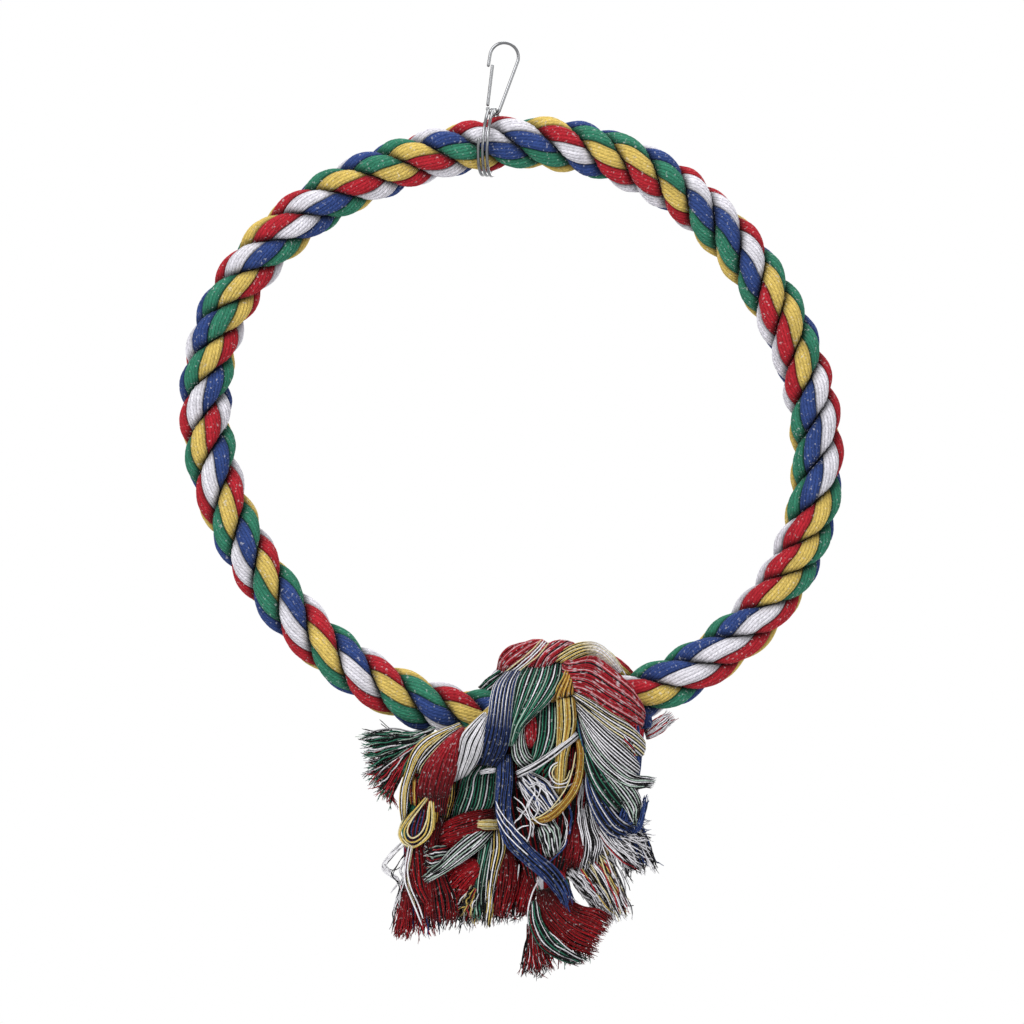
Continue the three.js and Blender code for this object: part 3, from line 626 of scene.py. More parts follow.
# The knot's strands go through these stations, in rope diameters: to the right, back and up from the rope's middle,
# then half the width and half the height. A wrap lies flat on the rope, and a hanging strand faces the front.
knotStrands = {
    "left_wrap": {
        "stations": [[0.02, 0.8, -0.35, 0.3, 0.2], [-0.05, 0.8, 0.25, 0.3, 0.2], [-0.12, 0.3, 0.78, 0.32, 0.18],
                     [-0.22, -0.35, 0.86, 0.4, 0.24], [-0.62, -0.85, 0.55, 0.5, 0.28], [-1.22, -1.02, 0, 0.54, 0.28],
                     [-1.75, -1.06, -0.52, 0.52, 0.28], [-2.3, -1, -0.9, 0.48, 0.28],
                     [-2.72, -0.92, -1.35, 0.44, 0.28], [-2.86, -0.85, -1.95, 0.38, 0.28],
                     [-2.8, -0.82, -2.5, 0.36, 0.26]],
        "dyes": "vbgry", "fit": 0.74, "slot": "cotton_blue",
        "tassel": {"name": "lower_left", "tip": [-2.72, -0.84, -4.02], "spread": 0.6, "dyes": "dddrb",
                   "slot": "cotton_red"},
    },
    "right_wrap": {
        "stations": [[0.62, 0.8, -0.35, 0.28, 0.2], [0.55, 0.8, 0.25, 0.28, 0.2], [0.5, 0.3, 0.78, 0.3, 0.18],
                     [0.42, -0.35, 0.84, 0.36, 0.24], [0.66, -0.85, 0.48, 0.5, 0.28], [0.92, -1.02, -0.1, 0.58, 0.3],
                     [1.02, -1.05, -0.72, 0.58, 0.3], [0.98, -1, -1.35, 0.54, 0.3], [0.98, -0.94, -1.8, 0.46, 0.28]],
        "dyes": "gvbry", "fit": 0.68, "slot": "cotton_green",
        "tassel": {"name": "right", "tip": [1.34, -0.96, -2.85], "spread": 0.62, "dyes": "wkwkbk",
                   "slot": "cotton_blue"},
    },
    "top_wrap": {
        "stations": [[0.9, -0.35, -0.95, 0.3, 0.24], [1.1, 0.2, -0.9, 0.32, 0.24], [1.2, 0.78, -0.35, 0.36, 0.24],
                     [1.14, 0.72, 0.4, 0.4, 0.24], [0.75, 0.14, 1.02, 0.45, 0.24], [0.1, 0.02, 1.16, 0.45, 0.24],
                     [-0.55, 0.04, 1.14, 0.45, 0.24], [-1.05, 0.25, 0.9, 0.42, 0.24], [-1.45, 0.75, 0.3, 0.38, 0.22],
                     [-1.6, 0.86, -0.3, 0.34, 0.22], [-1.85, 0.4, -0.88, 0.3, 0.25], [-2.35, -0.2, -0.78, 0.28, 0.28]],
        "dyes": "gvyrb", "fit": 0.8, "slot": "cotton_red",
        "tassel": {"name": "left", "tip": [-3.74, -0.3, -0.9], "spread": 0.8, "dyes": "ggkwr", "slot": "cotton_green"},
    },
    "middle_strand": {
        "stations": [[0.05, -0.74, 0.46, 0.34, 0.16], [-0.26, -0.78, -0.15, 0.54, 0.22],
                     [-0.36, -0.8, -0.8, 0.62, 0.26], [-0.45, -0.8, -1.35, 0.56, 0.26], [-0.46, -0.8, -2, 0.46, 0.26],
                     [-0.42, -0.78, -2.65, 0.4, 0.26], [-0.3, -0.76, -3.15, 0.36, 0.26]],
        "hangs": True, "dyes": "ggrdv", "slot": "cotton_green",
        "tassel": {"name": "bottom", "tip": [0.06, -0.8, -4.55], "spread": 0.8, "dyes": "rrdg", "slot": "cotton_red"},
    },
    "under_strand": {
        "stations": [[0.02, 0.8, -0.2, 0.3, 0.2], [0, 0.79, -0.45, 0.3, 0.2], [-0.25, 0.6, -0.86, 0.34, 0.22],
                     [-0.75, 0.25, -1.04, 0.4, 0.22], [-1.15, -0.02, -1.16, 0.46, 0.24],
                     [-1.5, -0.28, -1.42, 0.5, 0.26], [-1.85, -0.4, -1.78, 0.52, 0.26], [-1.95, -0.4, -2.2, 0.5, 0.26],
                     [-1.85, -0.34, -2.6, 0.46, 0.26]],
        "hangs": True, "dyes": "gbvyr", "fit": 0.74, "band": 0.1, "slot": "cotton_red",
        "tassel": {"name": "middle", "tip": [-1.62, -0.3, -3.85], "spread": 0.84, "dyes": "rdgwy",
                   "slot": "cotton_red"},
    },
    "back_strand": {
        "stations": [[0.62, 0.8, -0.2, 0.28, 0.2], [0.62, 0.79, -0.45, 0.28, 0.2], [0.6, 0.62, -0.86, 0.32, 0.22],
                     [0.52, 0.28, -1.16, 0.36, 0.24], [0.48, 0, -1.55, 0.4, 0.26], [0.5, -0.16, -2, 0.42, 0.26],
                     [0.52, -0.2, -2.4, 0.4, 0.26]],
        "hangs": True, "dyes": "bvgyr", "fit": 0.68, "band": 0.1, "slot": "cotton_white",
        "tassel": {"name": "lower_right", "tip": [0.8, -0.18, -3.75], "spread": 0.56, "dyes": "wwwwyr",
                   "slot": "cotton_white"},
    },
}
ropeDiameter = 20
# a strand's yarns leave room for the locks that lie on it; twist is in radians to the millimetre
strandFit = {
    "width": 0.74, "height": 0.66, "inset": 2.2, "stations": 28, "lowest": -0.4, "turnFrom": 0.3, "turnOver": 0.3,
    "ragged": 0.3, "twist": 0.05, "steps": 48,
}
strandYarns = {"pitch": 0.8, "radius": 0.46, "uneven": 0.13, "fray": 0.5}
# shares are the tassel's stations from its root to its tip, the first of them inside the strand
tasselFit = {"shares": [-0.15, 0.3, 0.7, 1.0], "rootWidth": 0.8, "behind": 2, "thick": 3.0}
tasselYarns = {"pitch": 0.9, "radius": 0.34, "fill": 34, "fray": 1.3, "uneven": 0.28, "loose": 0.4, "sides": 5}


# Stations along a route: across is away from the rope crossed with the way along it, where away never points down
# by more than lowest; a hanging strand turns from the rope to the front. The last station lies part of the way
# down the tassel, where the strand's yarns thin out.
def strandStations(strand):
    fine = np.linspace(0, 1, strandFit["stations"])
    route, sizes = np.split(np.array(strand["stations"]), [3], axis=1)
    tip = np.array([strand["tassel"]["tip"]])
    route = np.concatenate([route, route[-1:] + strandFit["ragged"] * (tip - route[-1:])])
    middle = through(route * ropeDiameter, fine)
    along = unit(np.gradient(middle, axis=0))
    away = middle * np.array([0, 1, 1])
    away[:, 2] = np.maximum(away[:, 2], strandFit["lowest"] * ropeDiameter)
    away = unit(away)
    if strand.get("hangs"):
        turn = np.clip((fine[:, None] - strandFit["turnFrom"]) / strandFit["turnOver"], 0, 1)
        away = unit(away * (1 - turn) - back * turn)
    across = unit(np.cross(away, along))
    lift = np.cross(along, across)
    sizes = through(np.concatenate([sizes, sizes[-1:]]), fine) * ropeDiameter
    width = sizes[:, :1] * strandFit["width"] * strand.get("fit", 1)
    height = sizes[:, 1:] * strandFit["height"]
    return middle - strandFit["inset"] * lift, across * width, lift * height


# Each strand's end fans out into its tassel, from its last width to the tip's
heaps, slots = {}, {}
for name, strand in knotStrands.items():
    heap = heaps["knot_" + name] = Heap()
    slots["knot_" + name] = strand["slot"]
    middle, across, lift = strandStations(strand)
    length = np.linalg.norm(np.diff(middle, axis=0), axis=1).sum()
    bundle(heap, middle, across, lift, strand["dyes"], twist=strandFit["twist"] * length, steps=strandFit["steps"],
           banded=strand.get("band", 0.0), **strandYarns)
    tassel = strand["tassel"]
    heap = heaps["tassel_" + tassel["name"]] = Heap()
    slots["tassel_" + tassel["name"]] = tassel["slot"]
    *root, width, _ = strand["stations"][-1]
    root, tip = ropeDiameter * np.array(root), ropeDiameter * np.array(tassel["tip"])
    heading = unit(tip - root)
    share = np.array(tasselFit["shares"])[:, None]
    side = unit(np.cross(-back, heading))
    rooted = tasselFit["rootWidth"] * width * strand.get("fit", 1)
    half = ropeDiameter * (rooted + (tassel["spread"] / 2 - rooted) * np.maximum(share, 0))
    middle = root + share * (tip - root) + tasselFit["behind"] * back
    lift = np.broadcast_to(-back * tasselFit["thick"], middle.shape)
    bundle(heap, middle, side * half, lift, tassel["dyes"], **tasselYarns)
print("knot tied and tassels hung")


# Locks and threads that lie on the knot are placed in a drawing of the front: unit is how many of its units make a
# millimetre, middle is where the rope's middle lies in it, and depth is how far back, in mm. A lock has a style.
drawing = {"unit": 11.4, "middle": (968.3, 398.3)}
styles = {
    "open": {"pitch": 0.56, "radius": 0.3, "thick": 1.8, "loose": 0.14, "sides": 5},
    "tight": {"pitch": 0.52, "radius": 0.3, "thick": 2.4, "loose": 0.12, "sides": 4},
    # a filler is a dark lock laid behind the others, painted shade where the knot lies in shadow
    "filler": {"pitch": 0.85, "radius": 0.46, "thick": 3.6, "loose": 0.25, "sides": 4},
    # a brush is painted darker towards its root, as painted shade
    "brush": {"pitch": 0.5, "radius": 0.27, "thick": 3.2, "loose": 0.22, "fill": 40, "fray": 0.7, "uneven": 0.15,
              "rootShade": 0.75, "plyShade": 0.5, "sides": 4},
    "hung": {"pitch": 0.6, "radius": 0.34, "thick": 3.2, "loose": 0.3, "fill": 20, "fray": 0.9, "uneven": 0.22,
             "dive": -2, "sides": 4},
    "wisp": {"pitch": 0.85, "radius": 0.23, "thick": 1.8, "loose": 0.6, "fray": 1.0, "uneven": 0.3, "core": 0,
             "sides": 4},
}
lockFit = {"dive": 3.0, "around": False, "shut": 0, "stepsPerStation": 7}
threadFit = {"stepsPerPoint": 8, "sides": 6, "wander": 0.15, "copyWander": 0.55, "taper": 8, "endSize": 0.5}


# A point of the drawing at a depth: what lies nearer the camera is drawn larger about the aim
def fromDrawing(places, depth):
    flat = (places - np.array(drawing["middle"])) * np.array([1, -1]) / drawing["unit"]
    offset = (knotCentre - np.array(view["aim"]))[[0, 2]]
    near = depth / view["distance"]
    moved = flat + (flat + offset) * near[..., None]
    return np.stack([moved[..., 0], depth + 0 * moved[..., 0], moved[..., 1]], -1)


# One lock: each station is two points of the drawing, one on either edge, and their depth
def lock(style, dyes, *stations, **changes):
    return {**lockFit, **styles[style], **changes, "dyes": dyes, "stations": np.array(stations, float)}


# A lock faces the front, or away from the knot where it goes around it; shut draws its last station together
def layLock(heap, stations, dyes, thick, around, shut, stepsPerStation, **yarns):
    pairs = fromDrawing(stations[:, :4].reshape(-1, 2, 2), np.repeat(stations[:, 4:], 2, 1))
    middle, across = pairs.mean(1), (pairs[:, 1] - pairs[:, 0]) / 2
    lift = np.broadcast_to(-back, middle.shape)
    if around:
        lift = unit(np.cross(np.gradient(middle, axis=0), across))
        lift = lift * np.where(lift[1, 1] < 0, 1, -1)
    closing = np.append(np.ones(len(middle) - 1), 1 - shut)[:, None]
    bundle(heap, middle, across * closing, lift * closing * thick, dyes, steps=stepsPerStation * len(middle), **yarns)


# Copies of a thread, each with its own wander and thinner towards its ends
def layThread(heap, dye, radius, depths, places, copies=1):
    flat = np.array(places, float).reshape(-1, 2)
    depth = np.interp(np.linspace(0, 1, len(flat)), np.linspace(0, 1, len(depths)), depths)
    share = np.linspace(0, 1, threadFit["stepsPerPoint"] * len(flat))[None] * np.ones((copies, 1))
    stray = wander(copies, share, threadFit["wander" if copies == 1 else "copyWander"])
    path = inRing(knotCentre + through(fromDrawing(flat, depth), share) + stray)
    size = np.clip(threadFit["taper"] * np.minimum(share, 1 - share) + threadFit["endSize"], 0, 1)
    colour = np.broadcast_to(dyeColours[dye], (1, 1, 1, 3))
    heap.tubes(path, radius * size, colour, threadFit["sides"], np.broadcast_to(-back, path.shape))


# Locks of each piece: style, dyes, stations and changes to the style
locks = {
    "knot_right_wrap": [
        lock("tight", "rprdrrk", [955, 160, 950, 255, -8], [986, 174, 984, 292, -17], [1076, 156, 1050, 326, -22],
             [1158, 212, 1135, 384, -24], [1225, 274, 1210, 430, -23], [1264, 342, 1256, 458, -18],
             [1262, 362, 1255, 464, -10], [1246, 385, 1240, 455, -2], fleck=0.22, around=True, shut=0.7),
        lock("open", "wkck", [980, 292, 990, 322, -18], [1060, 338, 1062, 400, -22.5], [1150, 398, 1146, 478, -25],
             [1232, 448, 1222, 538, -24.5], [1274, 496, 1262, 578, -21], [1276, 508, 1264, 585, -12],
             [1252, 515, 1244, 578, -4], [1200, 522, 1195, 568, -2], around=True, shut=0.8),
        lock("open", "wk", [986, 318, 1000, 352, -17.5], [1058, 392, 1052, 462, -22], [1135, 470, 1110, 545, -24.7],
             [1210, 538, 1180, 612, -24], [1252, 590, 1240, 668, -20.5], [1255, 600, 1243, 672, -12],
             [1236, 606, 1226, 664, -6], [1185, 612, 1180, 655, -5], around=True, shut=0.8),
        lock("open", "wkwkmk", [996, 345, 1010, 410, -17], [1050, 450, 1040, 530, -22.5],
             [1110, 535, 1085, 610, -25.3], [1175, 605, 1150, 672, -25], [1245, 655, 1222, 712, -23.5],
             [1318, 668, 1300, 712, -21], fray=0.4),
        lock("open", "rkwk", [1178, 452, 1188, 488, -25.2], [1215, 490, 1222, 530, -25.8],
             [1252, 532, 1254, 566, -24.3], thick=0.8),
        lock("open", "wkmk", [1160, 660, 1110, 650, -24], [1240, 705, 1165, 745, -23], [1278, 775, 1215, 815, -21],
             [1262, 850, 1240, 868, -20], fray=0.5),
        lock("open", "gkkgkkgkw", [1055, 520, 1022, 540, -19], [1110, 625, 1052, 665, -23.5],
             [1170, 705, 1105, 760, -23], [1235, 790, 1170, 835, -20], tipShade=0.6, thick=2.4),
        lock("tight", "gkb", [1000, 400, 1030, 430, -18], [1012, 480, 1050, 510, -20], [1030, 560, 1068, 590, -20.5],
             [1045, 650, 1080, 668, -19], thick=1.5),
        lock("open", "bkkbkw", [1040, 570, 1064, 560, -18], [1070, 670, 1040, 690, -20], [1130, 770, 1070, 815, -22],
             [1195, 850, 1130, 905, -22], [1255, 880, 1195, 935, -20], tipShade=0.3, thick=2.4),
    ],
    "tassel_right": [
        lock("brush", "bbk", [1180, 830, 1110, 870, -19], [1215, 850, 1145, 905, -20], [1250, 865, 1180, 932, -20],
             rootShade=0.3, fray=0.8),
        lock("wisp", "wwkw", [1150, 870, 1115, 890, -19], [1205, 900, 1160, 955, -20], [1262, 905, 1215, 1010, -20.5],
             [1318, 915, 1285, 1068, -20], radius=0.27, fill=20, uneven=0.4),
        lock("tight", "b", [1205, 900, 1232, 920, -20], [1252, 868, 1275, 885, -20.5], [1270, 815, 1292, 820, -20.5],
             [1285, 768, 1302, 775, -20], fray=0.5, thick=0.9),
        lock("wisp", "wkwb", [1180, 850, 1160, 900, -18], [1240, 865, 1215, 935, -18.5], [1300, 850, 1285, 955, -19],
             fill=14),
        lock("open", "wwkwwkr", [1110, 860, 1090, 900, -15], [1165, 915, 1130, 965, -17], [1230, 960, 1195, 1030, -18],
             [1300, 1000, 1270, 1075, -18], fill=16, fray=0.9, uneven=0.25),
    ],
    "tassel_lower_right": [
        lock("filler", "kdk", [950, 640, 1080, 660, -6], [950, 800, 1080, 800, -8], [950, 950, 1090, 950, -8],
             [965, 1080, 1080, 1080, -7], fray=0.8, uneven=0.25),
        lock("open", "wkdk", [960, 1000, 1060, 1000, -5], [990, 1100, 1130, 1090, -6], [1040, 1180, 1180, 1170, -6],
             [1090, 1260, 1200, 1240, -6], thick=3, fray=1.0, uneven=0.2),
        lock("open", "wk", [1005, 680, 1040, 690, -10], [1010, 780, 1065, 800, -13.5], [1020, 880, 1090, 880, -15],
             [1028, 960, 1120, 940, -15], [1010, 1045, 1105, 1015, -14], fray=0.5),
        lock("wisp", "wkw", [1040, 690, 1062, 690, -11], [1070, 800, 1105, 800, -14], [1110, 880, 1160, 900, -15],
             [1140, 960, 1200, 980, -15], [1170, 1040, 1235, 1080, -14], radius=0.32),
        lock("wisp", "wwkcwwkyr", [985, 985, 1060, 960, -12], [1010, 1070, 1150, 1020, -13.5],
             [1060, 1150, 1190, 1090, -14], [1110, 1215, 1215, 1170, -13.5], [1150, 1285, 1235, 1245, -12], radius=0.3,
             pitch=0.75, fill=14),
        lock("wisp", "wwkw", [960, 1060, 985, 1050, -13.5], [985, 1110, 1030, 1085, -14],
             [1020, 1165, 1080, 1135, -14], [1060, 1215, 1130, 1190, -13], radius=0.28, fill=14),
        lock("wisp", "wkw", [940, 1060, 965, 1080, -13], [1000, 1110, 1060, 1150, -14], [1060, 1175, 1120, 1215, -14],
             [1100, 1225, 1160, 1250, -12.5]),
        lock("brush", "ddr", [985, 830, 1020, 835, -13], [965, 900, 1030, 900, -14.5], [945, 970, 1035, 975, -15],
             [930, 1035, 1020, 1045, -14], fray=0.4),
        lock("hung", "yyoyk", [960, 520, 990, 530, 6], [965, 620, 1035, 640, 6], [985, 750, 1065, 755, 3],
             [985, 880, 1070, 880, 0], [960, 990, 1085, 985, -2], twist=-0.8),
    ],
    "tassel_bottom": [
        lock("brush", "edd", [905, 1135, 835, 1150, -16], [960, 1180, 840, 1225, -17], [1030, 1215, 880, 1305, -17.5],
             [1095, 1230, 960, 1385, -17.5], [1140, 1260, 1060, 1425, -17], rootShade=0.9, thick=4, fray=0.45,
             uneven=0.08, fill=50),
        lock("open", "kwkgkdkwkgk", [838, 1190, 800, 1205, -18.5], [855, 1270, 805, 1290, -20],
             [900, 1345, 842, 1378, -20.5], [965, 1398, 912, 1430, -20], [1035, 1432, 985, 1458, -19], tipShade=0.4,
             fray=0.6),
        lock("brush", "edkew", [845, 1270, 800, 1265, -15], [860, 1360, 795, 1360, -15], [880, 1430, 790, 1435, -15],
             [900, 1475, 780, 1490, -15], fill=14, uneven=0.2),
        lock("wisp", "kkd", [815, 1300, 800, 1300, -15.5], [820, 1400, 780, 1400, -15.5],
             [860, 1470, 768, 1475, -15.5], [865, 1505, 765, 1490, -15.5]),
    ],
    "loose_lock": [
        lock("tight", "bbk", [668, 585, 725, 570, -21], [668, 680, 728, 665, -22.5], [662, 780, 722, 768, -23],
             [674, 870, 728, 845, -23.5], [708, 955, 762, 915, -24], [775, 1022, 830, 985, -24.5],
             [852, 1090, 905, 1045, -25], [915, 1160, 962, 1118, -25], [950, 1215, 988, 1185, -25], fray=0.6,
             uneven=0.08, twist=1.4, loose=0.2, fleck=0.12),
    ],
    "knot_middle_strand": [
        lock("filler", "kkd", [700, 430, 1050, 440, -12], [690, 560, 1060, 560, -13], [690, 700, 1060, 700, -13.5],
             [715, 850, 1040, 850, -14], [760, 980, 1000, 980, -14], [800, 1120, 950, 1100, -14]),
        lock("tight", "oyok", [972, 165, 996, 172, -13], [950, 235, 992, 250, -18.5], [918, 295, 988, 292, -20],
             [896, 352, 986, 320, -19.5], thick=1.6),
        lock("tight", "yyoyck", [915, 325, 992, 318, -16], [920, 350, 994, 345, -19], [922, 430, 1000, 430, -19.5],
             [918, 520, 985, 500, -19.5], [914, 590, 965, 575, -19.5], [912, 670, 955, 668, -19],
             [915, 740, 945, 740, -18]),
        lock("open", "wkgkgkmkgk", [838, 350, 916, 340, -17], [834, 420, 918, 420, -19], [828, 490, 914, 490, -19.5],
             [815, 560, 890, 560, -19.5], [800, 610, 850, 600, -18], thick=1.6),
        lock("open", "mkwk", [775, 405, 800, 402, -18], [740, 460, 788, 455, -19.5], [726, 530, 785, 520, -20.2],
             [736, 590, 800, 570, -20.2], [770, 635, 830, 595, -19], thick=1.6),
        lock("tight", "rrd", [803, 402, 825, 400, -18], [786, 450, 832, 448, -20.3], [786, 500, 830, 500, -20.3],
             [800, 552, 818, 550, -18], fleck=0.1, thick=1.5),
        lock("tight", "kd", [955, 535, 1008, 530, -17.5], [958, 650, 1000, 650, -17.5], thick=1),
        lock("tight", "wwwk", [1000, 478, 1015, 495, -21.5], [900, 555, 912, 577, -22], [820, 608, 830, 632, -22],
             [745, 648, 755, 670, -21.5], thick=0.7, dive=1.5),
        lock("tight", "oyo", [998, 490, 1022, 485, -20], [1008, 560, 1036, 560, -21], [1002, 640, 1032, 648, -21.5],
             [982, 708, 1008, 724, -22], [935, 778, 952, 800, -22], [880, 826, 892, 850, -22],
             [808, 848, 812, 868, -21], thick=1.1),
        lock("open", "wkwwkb", [745, 690, 790, 640, -18], [790, 770, 870, 680, -19.5], [835, 830, 920, 745, -20],
             [880, 870, 945, 800, -18.5], loose=0.4),
        lock("open", "wkmk", [835, 880, 900, 845, -18.5], [845, 925, 928, 885, -19.5], [860, 970, 935, 935, -19.5],
             [880, 1010, 930, 990, -18.5], loose=0.35),
    ],
    "knot_back_strand": [
        lock("hung", "wwwwb", [850, 470, 880, 470, 9], [815, 560, 880, 570, 8], [785, 680, 880, 690, 4],
             [772, 810, 872, 815, 0], [770, 930, 880, 930, -3], [775, 1040, 900, 1030, -5], twist=0.7),
        lock("hung", "rrrdr", [890, 480, 920, 480, 9], [885, 570, 950, 565, 7], [890, 690, 985, 680, 3],
             [880, 820, 985, 810, 0], [850, 950, 965, 950, -3], [815, 1070, 945, 1085, -6], twist=-0.8),
        lock("hung", "gggkg", [770, 520, 800, 500, 7], [715, 610, 785, 600, 7], [690, 730, 775, 735, 5],
             [700, 850, 775, 855, 1], [720, 960, 790, 950, -2], twist=0.9),
    ],
    "knot_top_wrap": [
        lock("tight", "rrprd", [668, 205, 722, 226, -3], [682, 150, 745, 200, -7], [714, 116, 795, 174, -8],
             [764, 104, 850, 148, -6], [822, 108, 880, 134, -3], [840, 142, 890, 168, 2], fleck=0.2, thick=3,
             around=True, shut=0.8),
        lock("tight", "rpkrr", [770, 222, 880, 228, -5], [790, 182, 895, 190, -9.5], [822, 136, 915, 175, -11],
             [860, 116, 965, 158, -9], [905, 112, 1020, 140, -5], [930, 148, 1034, 174, 1], fleck=0.25, thick=3,
             around=True, shut=0.8),
        lock("open", "yck", [885, 178, 970, 184, -12], [928, 142, 995, 176, -11], [985, 110, 1028, 160, -10],
             [1040, 96, 1060, 150, -9], [1092, 102, 1092, 156, -8], [1142, 138, 1124, 180, -6],
             [1200, 215, 1176, 228, -4], later="wwc", change=0.55, thick=2),
        lock("open", "wkgk", [690, 205, 745, 232, -6], [650, 232, 700, 262, -3], [618, 256, 660, 292, 0],
             [588, 286, 622, 326, 2], thick=2),
        lock("tight", "wwwr", [1292, 468, 1302, 506, -9], [1330, 426, 1354, 484, -10], [1376, 402, 1406, 436, -10.5],
             thick=1.5, fray=0.4),
        lock("tight", "b", [1272, 400, 1317, 396, -11], [1275, 430, 1319, 430, -11], [1278, 462, 1315, 462, -11],
             thick=1.4),
    ],
    "knot_left_wrap": [
        lock("open", "wkgkmkgk", [772, 206, 958, 182, -10.5], [744, 258, 944, 258, -17], [730, 325, 895, 335, -21.5],
             [722, 395, 830, 402, -23], [716, 455, 772, 460, -22.5], [708, 535, 738, 530, -21], later="mkgkgkgk",
             dive=1.0),
        lock("tight", "bwk", [700, 222, 772, 206, -12], [660, 268, 745, 262, -19.5], [642, 325, 732, 335, -23],
             [632, 395, 724, 415, -24.5], [618, 465, 720, 480, -24.5], [596, 540, 704, 556, -23],
             [575, 612, 668, 622, -21], later="bbk", change=0.52, tipShade=0.45, dive=1.5),
        lock("tight", "wwwk", [628, 378, 634, 408, -20], [560, 440, 622, 480, -23], [518, 492, 602, 548, -24.5],
             [498, 570, 582, 602, -24.5], [474, 690, 540, 660, -22], tipShade=0.2),
        lock("tight", "rrd", [514, 458, 534, 462, -20], [452, 505, 512, 505, -23.5], [392, 572, 505, 562, -24.5],
             [350, 640, 496, 625, -24.5], [330, 720, 470, 715, -23], [338, 770, 455, 765, -20], fleck=0.1,
             tipShade=0.85, thick=2.8),
        lock("open", "wkck", [500, 452, 512, 466, -20], [440, 482, 462, 505, -22.5], [368, 540, 402, 574, -22.5],
             [328, 596, 352, 630, -22], [318, 650, 336, 668, -20], thick=1.2),
        lock("open", "ykwkyc", [506, 440, 520, 460, -18], [440, 464, 452, 490, -21], [360, 503, 372, 548, -22.5],
             [308, 558, 335, 605, -22.5], [280, 640, 310, 660, -22], [258, 715, 292, 718, -21.5],
             [254, 790, 285, 790, -21], [260, 850, 282, 848, -21]),
        lock("tight", "okdy", [285, 668, 345, 668, -20], [288, 730, 342, 735, -19.5], [296, 790, 340, 800, -18]),
        # Below the red lock dark red yarns, with black laid among them as painted shade; below the blue lock a dark
        # patch of black, dark red and green that is painted shadow
        lock("tight", "dk", [340, 690, 470, 690, -20.5], [345, 760, 455, 760, -20], [350, 825, 445, 832, -18]),
        lock("tight", "dkg", [490, 640, 640, 600, -13], [480, 690, 640, 660, -11.5], [470, 740, 620, 720, -10.5],
             thick=1.4),
        lock("tight", "w", [592, 642, 595, 654, -21], [625, 634, 630, 648, -21.3], [660, 630, 660, 644, -21],
             thick=0.8, dive=1),
    ],
    "yarn_loop": [
        lock("tight", "kdb", [320, 790, 390, 780, -19.5], [290, 850, 388, 850, -20], [280, 905, 375, 900, -20],
             [298, 945, 345, 940, -19], thick=1.2),
    ],
    "tassel_lower_left": [
        lock("brush", "dedk", [350, 830, 440, 840, -17], [350, 950, 410, 960, -18], [345, 1080, 450, 1080, -18],
             [345, 1190, 490, 1180, -18], [350, 1290, 500, 1272, -17], rootShade=0.85),
        lock("brush", "edkd", [290, 955, 350, 955, -18.5], [285, 1040, 362, 1050, -19], [300, 1120, 368, 1130, -19],
             [335, 1200, 400, 1200, -18.5], fray=0.3, rootShade=0.2),
        lock("tight", "bk", [340, 960, 375, 955, -19], [352, 1050, 398, 1050, -19.5], [372, 1140, 422, 1140, -19],
             thick=1.2),
        lock("brush", "eerd", [275, 1130, 305, 1140, -17.5], [255, 1210, 305, 1220, -17.5],
             [240, 1290, 300, 1300, -17.5], [235, 1330, 290, 1340, -17], fill=12, uneven=0.2),
        lock("wisp", "kwkr", [265, 1100, 300, 1110, -16.5], [240, 1200, 290, 1210, -16.5],
             [220, 1295, 290, 1315, -16.5]),
    ],
    "knot_under_strand": [
        lock("filler", "kdk", [450, 680, 720, 660, -7], [405, 820, 730, 800, -7], [400, 940, 750, 930, -7],
             [450, 1060, 760, 1060, -7]),
        lock("open", "ykok", [398, 715, 490, 690, -13], [396, 770, 482, 765, -13.5], [402, 845, 455, 852, -12]),
        lock("open", "gkgkwkgkmk", [560, 622, 668, 612, -14], [520, 670, 660, 655, -14.5], [505, 730, 655, 715, -14.5],
             [485, 790, 640, 790, -14], [475, 838, 600, 828, -12.5], dive=0.5),
        lock("brush", "ede", [655, 800, 662, 880, -14], [570, 812, 580, 935, -15.5], [480, 840, 490, 962, -15.5],
             [420, 880, 425, 966, -14.5], fray=0.4, rootShade=0.85),
        lock("tight", "ccy", [574, 850, 576, 884, -17.5], [620, 850, 620, 888, -18.3], [668, 852, 668, 886, -17.5],
             thick=1.2, dive=1),
        lock("hung", "bbbkb", [620, 600, 650, 590, 6], [560, 690, 625, 680, 6], [505, 810, 585, 805, 4],
             [495, 930, 575, 930, 1], [510, 1050, 600, 1045, -1], twist=0.9),
        lock("hung", "rrdrr", [660, 590, 690, 590, 5], [635, 690, 700, 690, 5], [600, 820, 690, 825, 3],
             [595, 950, 685, 955, 0], [610, 1090, 715, 1085, -2], twist=-0.7),
    ],
    "tassel_middle": [
        lock("filler", "dkd", [720, 960, 860, 980, -6], [715, 1040, 850, 1050, -6], [715, 1120, 830, 1130, -6],
             [720, 1190, 800, 1200, -6], thick=2, fray=0.5, uneven=0.2),
        lock("brush", "ed", [800, 1000, 860, 1050, -10.5], [765, 1080, 845, 1120, -11], [745, 1160, 820, 1190, -11],
             [738, 1235, 798, 1242, -10.5]),
        lock("brush", "ed", [685, 950, 725, 975, -12.5], [655, 1040, 755, 1055, -13], [640, 1140, 750, 1150, -13],
             [642, 1238, 712, 1252, -12.5], rootShade=0.85),
        lock("open", "wkyk", [640, 880, 690, 890, -14.5], [632, 980, 700, 970, -15.3], [622, 1080, 668, 1080, -15.3],
             [612, 1180, 650, 1190, -14.8], [605, 1270, 640, 1280, -14], fray=0.6),
        lock("open", "gkmk", [605, 895, 655, 905, -15], [588, 1000, 630, 1000, -16], [570, 1100, 612, 1105, -16],
             [565, 1190, 602, 1195, -15.5], [560, 1245, 600, 1250, -15], fray=0.6),
        lock("open", "wkmk", [610, 872, 655, 905, -16], [550, 905, 600, 965, -18], [480, 965, 525, 1020, -20.3],
             [420, 1030, 450, 1070, -21.8], [368, 1076, 388, 1105, -22.3], fray=0.4),
